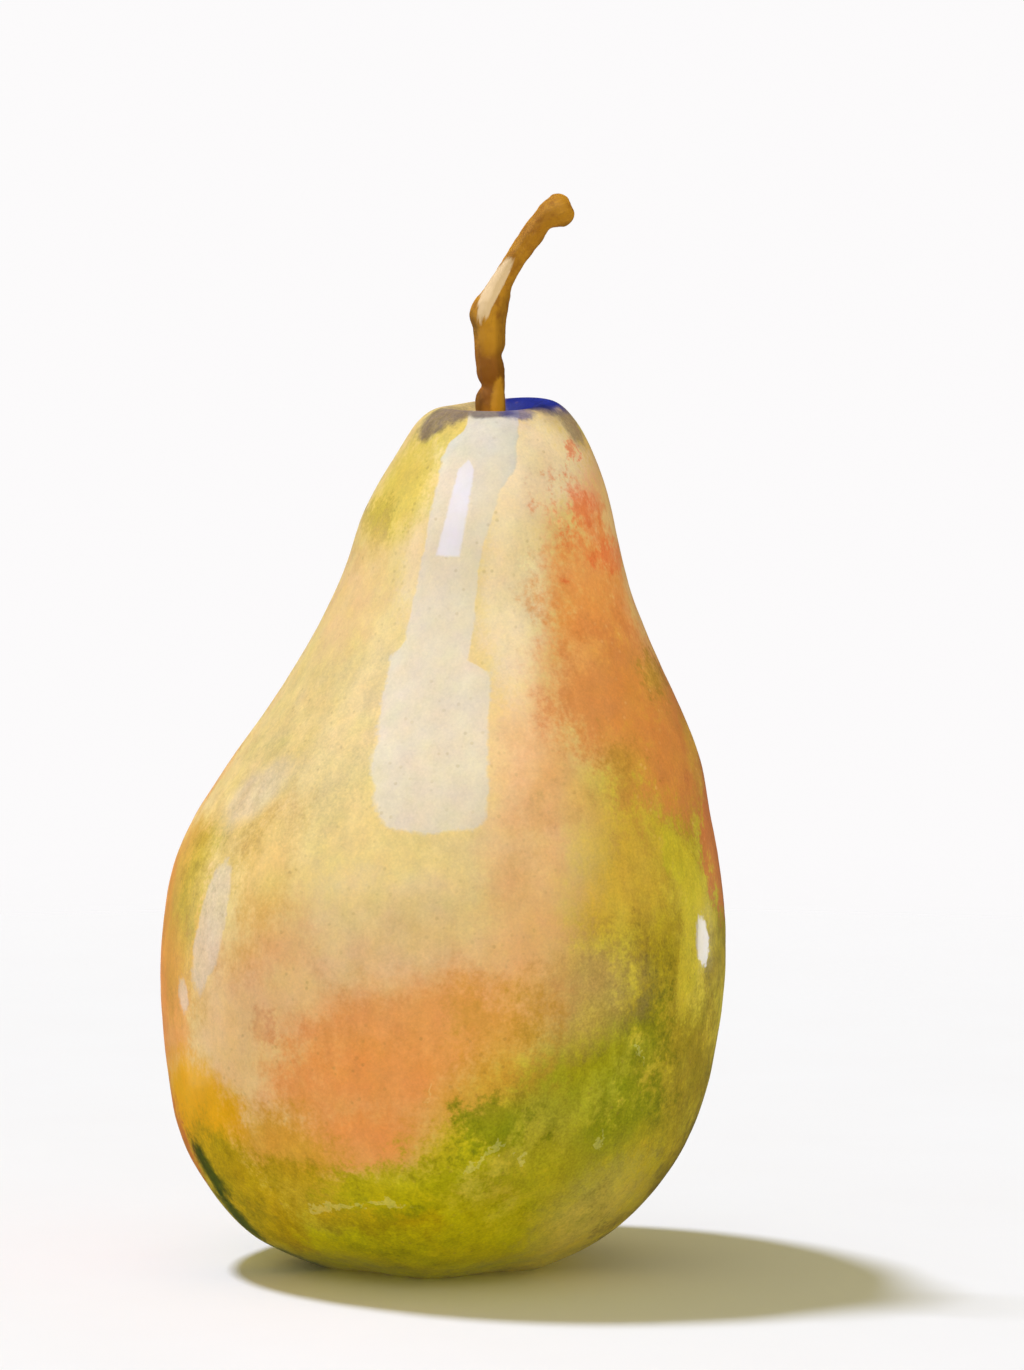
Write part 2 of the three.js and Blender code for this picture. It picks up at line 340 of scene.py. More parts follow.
# Each dimple: where it is, how deep, and how far round it the skin gives way, all in millimetres.
DIMPLES = [
    ((21.0, -20.0, 63.0), 0.55, 9),
    ((-20.5, -26.0, 33.0), 0.45, 8),
    ((11.5, -29.0, 21.0), 0.4, 7),
    ((-9.0, 27.0, 52.0), 0.7, 10),
    ((24.0, 20.0, 30.0), 0.5, 9),
    ((-29.0, 9.0, 27.0), 0.5, 8),
]
for place, depth, reach in DIMPLES:
    centre = Vector(place) * MM
    places = [vertex.co.copy() for vertex in fruit.data.vertices]
    nearest = min(places, key=lambda co: (co - centre).length)
    open_piece(fruit, lambda co: (co - nearest).length < ONE_VERTEX)
    inward = Vector((-centre.x, -centre.y, 0)).normalized() * depth * MM
    bpy.ops.transform.translate(
        value=inward,
        use_proportional_edit=True,
        proportional_edit_falloff="SMOOTH",
        proportional_size=reach * MM,
    )
clear_selection()
print("dimples pressed:", len(DIMPLES))

# %% Subdivide and let it grow uneven
JUST_INSIDE = 0.9998  # a piece ends just inside the box of its solid


def settle(piece, node):
    """Brings a piece into the box of the solid that it stands for, and shades it smooth."""
    clear_selection()
    low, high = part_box(node)
    places = np.array([vertex.co for vertex in piece.data.vertices])
    mine_low, mine_high = Vector(places.min(0)), Vector(places.max(0))
    open_piece(piece)
    bpy.ops.transform.translate(value=(low + high - mine_low - mine_high) / 2)
    ratio = [JUST_INSIDE * solid / mine for solid, mine in zip(high - low, mine_high - mine_low)]
    bpy.ops.transform.resize(value=ratio, center_override=(low + high) / 2)
    clear_selection()
    for polygon in piece.data.polygons:
        polygon.use_smooth = True
    print(piece.name, "resized by", [round(share, 4) for share in ratio])
    print(piece.name, "has", len(piece.data.polygons), "faces")


subdivide(fruit, 2)
roughen(fruit, "slow swellings", 19 * MM, 0.55 * MM)
roughen(fruit, "small lumps", 5.5 * MM, 0.16 * MM)
open_piece(fruit, lambda place: place.z < 0)
bpy.ops.transform.resize(value=(1, 1, 0), center_override=(0, 0, 0))
settle(fruit, "fruit")

# %% [markdown]
# ## The woody stem
#
# The stem is a twig in small: it is thick where it leaves the flesh, bends at the scar of a bud,
# and swells at the end into the pad by which it hung. It could be a curve with a bevel, but then
# its section would stay round. Extruded ring by ring like the fruit, it can be ribbed, notched and
# thickened on one side.

# %% The stem's dimensions
# x, y, z and radius in millimetres, from the buried end to the pad.
STEM_STATIONS = [
    (5.5, 0, 96.6, 1.5),
    (5.5, 0, 100.8, 1.6),
    (5.4, 0, 102.8, 1.78),
    (5.4, 0, 104.2, 1.78),
    (5.6, 0, 105.8, 1.6),
    (5.5, -0.1, 107.4, 1.68),
    (5.35, -0.1, 109.4, 1.72),
    (5.35, -0.2, 111.6, 1.85),
    (5.3, -0.2, 113.6, 2.05),
    (5.65, -0.3, 115.2, 1.95),
    (6.3, -0.4, 117.0, 1.5),
    (7.2, -0.4, 118.7, 1.25),
    (8.7, -0.5, 121.0, 1.25),
    (10.3, -0.6, 123.3, 1.3),
    (11.5, -0.7, 124.9, 1.28),
    (12.5, -0.8, 125.7, 1.6),
    (13.5, -0.9, 126.2, 1.95),
]
STEM_SIDES = 36
STEM_RINGS = 96
# Ribs in the bark: how many round the stem, how deep as a share of the radius, and how far they have
# turned after a full length, in radians.
RIBS = [(3, 0.04, 9), (5, 0.03, -4), (11, 0.022, 3), (17, 0.014, -2)]
RIBS_START = 4 * MM
FULL_LENGTH = 33 * MM
# Knobs and notches: distance along the stem, direction round it, height, half length and width.
KNOBS = [
    (17.6, math.pi, 0.42, 1.1, 0.9),  # the bud scar outside the elbow
    (18.9, 2.4, 0.15, 0.4, 1.3),  # the bract's scar just above it
    (16.2, 3.6, -0.14, 0.5, 1.0),  # the groove below it
    (9.1, math.pi, -0.42, 0.75, 0.8),  # a notch on the left near the flesh
    (12.7, 0.0, -0.36, 0.6, 0.8),  # a nick on the right
    (14.0, 0.3, 0.12, 0.8, 0.8),
    (20.4, 0.0, 0.2, 0.7, 0.8),
    (28.4, 0.0, 0.16, 0.7, 0.8),
    (25.0, 0.2, -0.1, 0.8, 0.9),
]


# %% Helper: rib and notch the ring that is selected
def shape_bark(piece, centre, along, radius):
    free = smoothstep(along, RIBS_START, 2 * RIBS_START)
    edit = bmesh.from_edit_mesh(piece.data)
    for vertex in edit.verts:
        if vertex.select:
            away = vertex.co - centre
            angle = math.atan2(away.y, away.x)
            out = radius
            for count, depth, twist in RIBS:
                out += radius * free * depth * math.cos(count * angle + twist * along / FULL_LENGTH)
            for where, side, height, length, width in KNOBS:
                off = (along / MM - where) / length
                turn = math.remainder(angle - side, 2 * math.pi) / width
                out += height * MM * math.exp(-(off**2) - turn**2)
            vertex.co = centre + away.normalized() * out
    bmesh.update_edit_mesh(piece.data)


# %% Extrude the stem
line = through(STEM_STATIONS, STEM_RINGS)
stem = start_ring("woody_stem", STEM_SIDES, line[0][3] * MM, Vector(line[0][:3]) * MM)
leaning = 0.0
along = 0.0
for before, ring in zip(line, line[1:]):
    step = Vector(ring[:3] - before[:3]) * MM
    along += step.length
    centre = Vector(ring[:3]) * MM
    next_ring(step, (ring[3] / before[3],) * 3, centre)
    slant = math.atan2(step.x, step.z)
    bpy.ops.transform.rotate(value=leaning - slant, orient_axis="Y", center_override=centre)
    leaning = slant
    shape_bark(stem, centre, along, ring[3] * MM)
print("stem:", round(along * 1000, 1), "mm along its middle")

# %% [markdown]
# The end of the stem is a domed pad of cork with a faint rim round the scar in its middle, where it
# let go of the twig. Four more rings go out over the dome, each narrower than the last, and two
# lead into the scar. The buried end is only closed with a flat face.

# %% Close the two ends
A_HAIR = 0.001 * MM
# How far on each ring of the pad is, in millimetres, and its size as a share of the stem's last ring.
PAD = [(0.5, 0.99), (0.5, 0.9), (0.45, 0.73), (0.3, 0.5), (0.0, 0.36), (-0.03, 0.18)]
outward = step.normalized()
size = 1.0
for advance, share in PAD:
    centre = centre + outward * advance * MM
    next_ring(outward * advance * MM, (share / size,) * 3, centre)
    size = share
bpy.ops.mesh.merge(type="CENTER")
open_piece(stem, lambda place: place.z < STEM_STATIONS[0][2] * MM + A_HAIR)
bpy.ops.mesh.edge_face_add()
face_outwards(stem)
print("stem:", len(stem.data.vertices), "vertices in the cage")

# %% Round the stem off and roughen it
subdivide(stem, 1)
roughen(stem, "bark lumps", 1.6 * MM, 0.16 * MM)
roughen(stem, "bark grain", 0.5 * MM, 0.07 * MM)
settle(stem, "stem")

# %% [markdown]
# The fibres of the bark run along the stem, round its bend. A pattern on the plain coordinates would
# cut straight across them. So each vertex also keeps, as an attribute, the place that it would have
# if the stem were straight: its offset from the middle line, and how far along that line it is.

# %% Keep each vertex's place on the straightened stem
middle_line = np.array([ring[:3] for ring in line]) * MM
distances = np.concatenate([[0], np.cumsum(np.linalg.norm(np.diff(middle_line, axis=0), axis=1))])
forward = np.gradient(middle_line, axis=0)
forward /= np.linalg.norm(forward, axis=1)[:, None]
sideways = np.cross([0, 1, 0], forward)
straight = stem.data.attributes.new("straight", "FLOAT_VECTOR", "POINT")
for vertex, entry in zip(stem.data.vertices, straight.data):
    off = np.array(vertex.co) - middle_line
    nearest = int(np.argmin(np.linalg.norm(off, axis=1)))
    off = off[nearest]
    entry.vector = (
        off @ sideways[nearest],
        off[1],
        distances[nearest] + off @ forward[nearest],
    )
print("the straightened stem is", round(max(entry.vector.z for entry in straight.data) * 1000, 1), "mm long")

# %% [markdown]
# ## The dried calyx
#
# Under the pear is what is left of the flower: a short cup, five sepals that have dried and curled
# outwards, a ring of stamens and the five styles in the middle. It is hidden while the pear stands,
# but a pear that is picked up shows it first. The cup is a circle extruded down, out and back into
# itself. One sepal, one stamen and one style are modelled after it, and each is copied round the
# cup with its own mesh, so that no two copies are alike.

# %% The cup
CUP_SIDES = 30
# Radius and height of each ring, in millimetres, from its root in the flesh to its hollow.
CUP_RINGS = [
    (2.3, 8.3),
    (2.65, 7.9),
    (2.7, 6.4),
    (2.7, 5.5),
    (2.45, 5.1),
    (2.1, 5.4),
    (1.7, 6.0),
    (1.0, 6.3),
]
cup_middle = (FOOT_X, 0, 0)
cup_top = CUP_RINGS[0][1] * MM
calyx = start_ring("dried_calyx", CUP_SIDES, CUP_RINGS[0][0] * MM, (FOOT_X, 0, cup_top))
next_ring((0, 0, 0.1 * MM), (1, 1, 1), cup_middle)
bpy.ops.mesh.merge(type="CENTER")
open_piece(calyx, lambda place: place.z < cup_top + A_HAIR)
for before, ring in zip(CUP_RINGS, CUP_RINGS[1:]):
    wider = ring[0] / before[0]
    next_ring((0, 0, (ring[1] - before[1]) * MM), (wider, wider, 1), cup_middle)
next_ring((0, 0, 0), (1, 1, 1), cup_middle)
bpy.ops.mesh.merge(type="CENTER")
face_outwards(calyx)
subdivide(calyx, 1)
print("cup:", len(calyx.data.polygons), "faces")

# %% [markdown]
# A sepal is a small leaf: widest near its root, cupped across, pointed, and bent back along a
# curve. It starts as a narrow strip under the rim of the cup. The strip's far edge is extruded again
# and again, each time narrower and turned a little further, and Solidify gives the blade its
# thickness at the end.

# %% One sepal
SEPAL_LENGTH = 5.4 * MM
SEPAL_WIDTH = 3.3 * MM
SEPAL_STRIP = 0.4 * MM  # the length of the strip that it starts from
SEPAL_CUPPING = 0.45 * MM  # how far its middle lies below its edges
SEPAL_THICKNESS = 0.4 * MM
SEPAL_POINT = 1.7  # the higher, the longer it stays wide before it narrows to its point
SEPAL_STEPS = 9
SEPAL_SLANT = 0.35  # the angle off straight down at its root, in radians
SEPAL_CURL = 1.05  # how much further it has turned at its tip
SEPAL_ROOT = Vector((FOOT_X + CUP_RADIUS - 0.7 * MM, 0, BASIN_HEIGHT - 0.8 * MM))
clear_selection()
bpy.ops.mesh.primitive_grid_add(x_subdivisions=1, y_subdivisions=6, size=1, location=(0, 0, 0))
sepal = name_new("sepal")
open_piece(sepal)
bpy.ops.transform.resize(value=(SEPAL_STRIP, SEPAL_WIDTH, 1), center_override=(0, 0, 0))
open_piece(sepal, lambda place: abs(place.y) < ONE_VERTEX)
bpy.ops.transform.translate(
    value=(0, 0, -SEPAL_CUPPING),
    use_proportional_edit=True,
    proportional_edit_falloff="SMOOTH",
    proportional_size=SEPAL_WIDTH / 2,
)
open_piece(sepal)
bpy.ops.transform.rotate(value=SEPAL_SLANT - math.pi / 2, orient_axis="Y", center_override=(0, 0, 0))
bpy.ops.transform.translate(value=SEPAL_ROOT)
open_piece(sepal, lambda place: place.z < SEPAL_ROOT.z)
centre = SEPAL_ROOT.copy()
width = 1.0
for index in range(1, SEPAL_STEPS + 1):
    share = index / SEPAL_STEPS
    heading = SEPAL_SLANT + SEPAL_CURL * share
    step = Vector((math.sin(heading), 0, -math.cos(heading))) * SEPAL_LENGTH / SEPAL_STEPS
    centre = centre + step
    narrower = (1.06 - share**SEPAL_POINT) / width
    width *= narrower
    next_ring(step, (narrower,) * 3, centre)
    bpy.ops.transform.rotate(value=SEPAL_CURL / SEPAL_STEPS, orient_axis="Y", center_override=centre)
finish_with(sepal, "SOLIDIFY", thickness=SEPAL_THICKNESS, offset=0)
subdivide(sepal, 1)
print("sepal:", len(sepal.data.polygons), "faces")

# %% [markdown]
# Stamens and styles are threads with a knob at the end. Each is a small ring extruded down a few
# times, with the last rings swollen.

# %% One stamen and one style
# How long each part of a thread is and how thick its end, as shares of the whole.
THREAD_RINGS = [(0.3, 0.9), (0.3, 0.8), (0.2, 0.85), (0.08, 1.7), (0.08, 1.9), (0.04, 1.0)]


def thread(name, out, lean, length, thickness, sides):
    """A dried thread that hangs from inside the cup and leans outwards, with a knob at its end."""
    centre = Vector((FOOT_X + out, 0, BASIN_HEIGHT + 0.2 * MM))
    piece = start_ring(name, sides, thickness / 2, centre)
    bpy.ops.mesh.edge_face_add()
    size = 1.0
    for index, (share, thick) in enumerate(THREAD_RINGS):
        slant = lean * (1 + 0.5 * index)
        step = Vector((math.sin(slant), 0, -math.cos(slant))) * share * length
        centre = centre + step
        next_ring(step, (thick / size,) * 3, centre)
        size = thick
    face_outwards(piece)
    subdivide(piece, 1)
    return piece


stamen = thread("stamen", 1.75 * MM, 0.12, 3.7 * MM, 0.3 * MM, 5)
style = thread("style", 0.55 * MM, 0.05, 4.6 * MM, 0.42 * MM, 6)
print("stamen and style:", len(stamen.data.polygons), "and", len(style.data.polygons), "faces")

# %% [markdown]
# Copies go round the cup at equal turns, each with its own mesh, and each is then tilted and
# stretched a little by itself. The random numbers come from a seed, so that every run is the same.

# %% Copy them round the cup and join them
UNEVEN = 0.12  # how far a copy strays from its even turn, as a share of that turn
rng = np.random.default_rng(11)


def ring_of(piece, count, start, tilt, stretch):
    """Copies a piece round the cup, removes the piece itself and gives back the copies."""
    root = Vector((FOOT_X + CUP_RADIUS / 2, 0, BASIN_HEIGHT))
    copies = []
    for index in range(count):
        select_only(piece)
        bpy.ops.object.duplicate(linked=False)
        copy = bpy.context.object
        open_piece(copy)
        longer = 1 + stretch * rng.uniform(-1, 1)
        bpy.ops.transform.resize(value=(1, 1, longer), center_override=root)
        lean = tilt * rng.uniform(-1, 1)
        bpy.ops.transform.rotate(value=lean, orient_axis="Y", center_override=root)
        turn = (start + index + UNEVEN * rng.uniform(-1, 1)) / count * 2 * math.pi
        bpy.ops.transform.rotate(value=-turn, orient_axis="Z", center_override=cup_middle)
        copies.append(copy)
    select_only(piece)
    bpy.ops.object.delete()
    return copies


parts = ring_of(sepal, LOBES, 0.5, 0.12, 0.08)
parts += ring_of(stamen, 15, 0, 0.15, 0.15)
parts += ring_of(style, 5, 0.5, 0.06, 0.08)
select_only(calyx)
for piece in parts:
    piece.select_set(True)
bpy.ops.object.join()
print("parts round the cup:", len(parts))
roughen(calyx, "calyx crinkle", 1.1 * MM, 0.3 * MM)
settle(calyx, "calyx")

# %% [markdown]
# ## Shader maths in plain expressions
#
# A finish is a graph of nodes, and written node by node even a simple sum fills a page. A small
# class takes that work over. It holds one socket, and arithmetic on it adds Math nodes, so that
# `1 - mask` or `spots * 0.3` reads as it would on paper. Colours and vectors can't go through a Math
# node, which would turn them grey, so they have Mix and Vector Math nodes of their own.

# %% A socket that can be calculated with
class Wire:
    """A node's output. Arithmetic on it adds Math nodes and gives back their output."""

    def __init__(self, graph, socket):
        self.graph = graph
        self.socket = socket

    def calculate(self, operation, *values):
        return self.graph.node("Math", {"operation": operation}, dict(enumerate(values)))

    def __add__(self, other):
        return self.calculate("ADD", self, other)

    def __radd__(self, other):
        return self.calculate("ADD", other, self)

    def __sub__(self, other):
        return self.calculate("SUBTRACT", self, other)

    def __rsub__(self, other):
        return self.calculate("SUBTRACT", other, self)

    def __mul__(self, other):
        return self.calculate("MULTIPLY", self, other)

    def __rmul__(self, other):
        return self.calculate("MULTIPLY", other, self)

    def __truediv__(self, other):
        return self.calculate("DIVIDE", self, other)

    def __rtruediv__(self, other):
        return self.calculate("DIVIDE", other, self)

    def __pow__(self, other):
        return self.calculate("POWER", self, other)

    def __rpow__(self, other):
        return self.calculate("POWER", other, self)

    def at_least(self, other):
        return self.calculate("MAXIMUM", self, other)

    def at_most(self, other):
        return self.calculate("MINIMUM", self, other)

    def rise(self, start, end):
        """0 below start, 1 above end, and an even curve between. It falls where start is above end."""
        falls = start > end
        values = {0: self, 1: min(start, end), 2: max(start, end), 3: float(falls), 4: float(not falls)}
        return self.graph.node("MapRange", {"interpolation_type": "SMOOTHSTEP"}, values)


# %% [markdown]
# Every node comes from one method. It takes the node's type, its settings, and the values or wires
# of its sockets, by name or by number where several sockets have the same name. A material and a
# world both hold a tree of nodes, so both can start from the same class.

# %% A tree of nodes that is built by calls
class Graph:
    """The tree of nodes of a material or a world. It grows by calls."""

    def __init__(self, owner):
        owner.use_nodes = True
        self.owner = owner
        self.tree = owner.node_tree
        self.tree.nodes.clear()

    def node(self, kind, settings=None, sockets=None, output=0):
        """Adds a node, sets it, fills its sockets and gives back one of its outputs."""
        node = self.tree.nodes.new("ShaderNode" + kind)
        for name, value in (settings or {}).items():
            setattr(node, name, value)
        for name, value in (sockets or {}).items():
            if isinstance(value, Wire):
                self.tree.links.new(value.socket, node.inputs[name])
            else:
                node.inputs[name].default_value = value
        if node.outputs:
            return Wire(self, node.outputs[output])

    def blend(self, mask, below, above, kind="MIX"):
        """Lays one colour over another where the mask is 1."""
        settings = {"data_type": "RGBA", "blend_type": kind}
        return self.node("Mix", settings, {0: mask, 6: below, 7: above}, output=2)


# %% [markdown]
# A finish is such a tree on a material. It starts from the piece's own coordinates in millimetres,
# and ends in one Principled shader. Cloudy noise and soft blots are its two kinds of pattern.

# %% A finish
PER_METRE = (1000, 1000, 1000)  # millimetres


def linear(red, green, blue):
    """A colour as a screen shows it, from 0 to 255, in the linear values that Blender renders with."""
    share = [value / 255 for value in (red, green, blue)]
    return tuple([v / 12.92 if v < 0.04045 else ((v + 0.055) / 1.055) ** 2.4 for v in share] + [1.0])


class Finish(Graph):
    """A material whose patterns read a place on the piece in millimetres."""

    def __init__(self, name):
        super().__init__(bpy.data.materials.new(name))
        self.place = self.vector("MULTIPLY", self.node("TexCoord", output="Object"), PER_METRE)

    def vector(self, operation, *values, output=0):
        return self.node("VectorMath", {"operation": operation}, dict(enumerate(values)), output)

    def noise(self, size, detail=3, rough=0.55, stretch=(1, 1, 1)):
        """Cloudy noise round 0.5, with lumps about size millimetres across, longer where stretched."""
        where = self.vector("MULTIPLY", self.place, [1 / (size * longer) for longer in stretch])
        return self.node("TexNoise", {}, {"Vector": where, "Scale": 1, "Detail": detail, "Roughness": rough})

    def patch(self, centre, reach, soft, torn=0.0, tilt=0.0):
        """A blot that is 1 round its centre and fades out at its reach along X, Y and Z.

        Everything is in millimetres: soft is half the width of the fade, and torn moves the edge in
        or out. The tilt turns the blot anticlockwise as it is seen from the front.
        """
        off = self.vector("SUBTRACT", self.place, centre)
        if tilt:
            turned = {"Vector": off, "Angle": math.radians(tilt)}
            off = self.node("VectorRotate", {"rotation_type": "Y_AXIS"}, turned)
        share = self.vector("LENGTH", self.vector("DIVIDE", off, reach), output="Value")
        size = math.sqrt(reach[0] * reach[2])
        return ((share - 1) * size + torn).rise(soft, -soft)

    def end(self, sockets):
        shader = self.node("BsdfPrincipled", {}, sockets)
        self.node("OutputMaterial", {}, {"Surface": shader})
        return self.owner


# %% [markdown]
# ## The skin
#
# A ripe pear of this kind is butter yellow, with a blush where the sun reached it and green where it
# didn't. The blush isn't one area with an edge: it is hundreds of small flecks that crowd together,
# over a ground that drifts from cream to olive. An image could hold that, but it would have to be
# unwrapped and would stretch at the poles. Here each drift of colour is a blot in space: a centre, a
# reach along X, Y and Z, and a ragged edge that comes from noise. Blots are laid over each other in
# turn, from the widest to the smallest.

# %% The colours of the skin
SKIN_COLOURS = {
    "cream": (234, 211, 174),
    "butter": (216, 190, 126),
    "straw": (214, 186, 112),
    "sand": (204, 180, 124),
    "lemon": (210, 184, 72),
    "peach": (229, 183, 133),
    "apricot": (230, 148, 76),
    "terracotta": (206, 120, 68),
    "flame": (236, 96, 50),
    "gold": (212, 172, 66),
    "honey": (206, 154, 44),
    "olive": (164, 144, 28),
    "bright": (198, 180, 46),
    "khaki": (192, 174, 56),
    "leaf": (182, 170, 2),
    "moss": (128, 136, 8),
    "amber": (226, 166, 4),
    "mustard": (180, 150, 0),
    "bottle": (44, 70, 10),
    "rust": (206, 120, 50),
    "umber": (104, 84, 22),
}
COLOURS = {name: linear(*screen) for name, screen in SKIN_COLOURS.items()}
print("colours for the skin:", len(COLOURS))

# %% [markdown]
# Each blot names its colour, how strongly it covers, how soft and how ragged its edge is, its centre
# and its reach in millimetres, and its tilt in degrees. The camera looks along +Y, so a negative Y is
# the side that it sees.

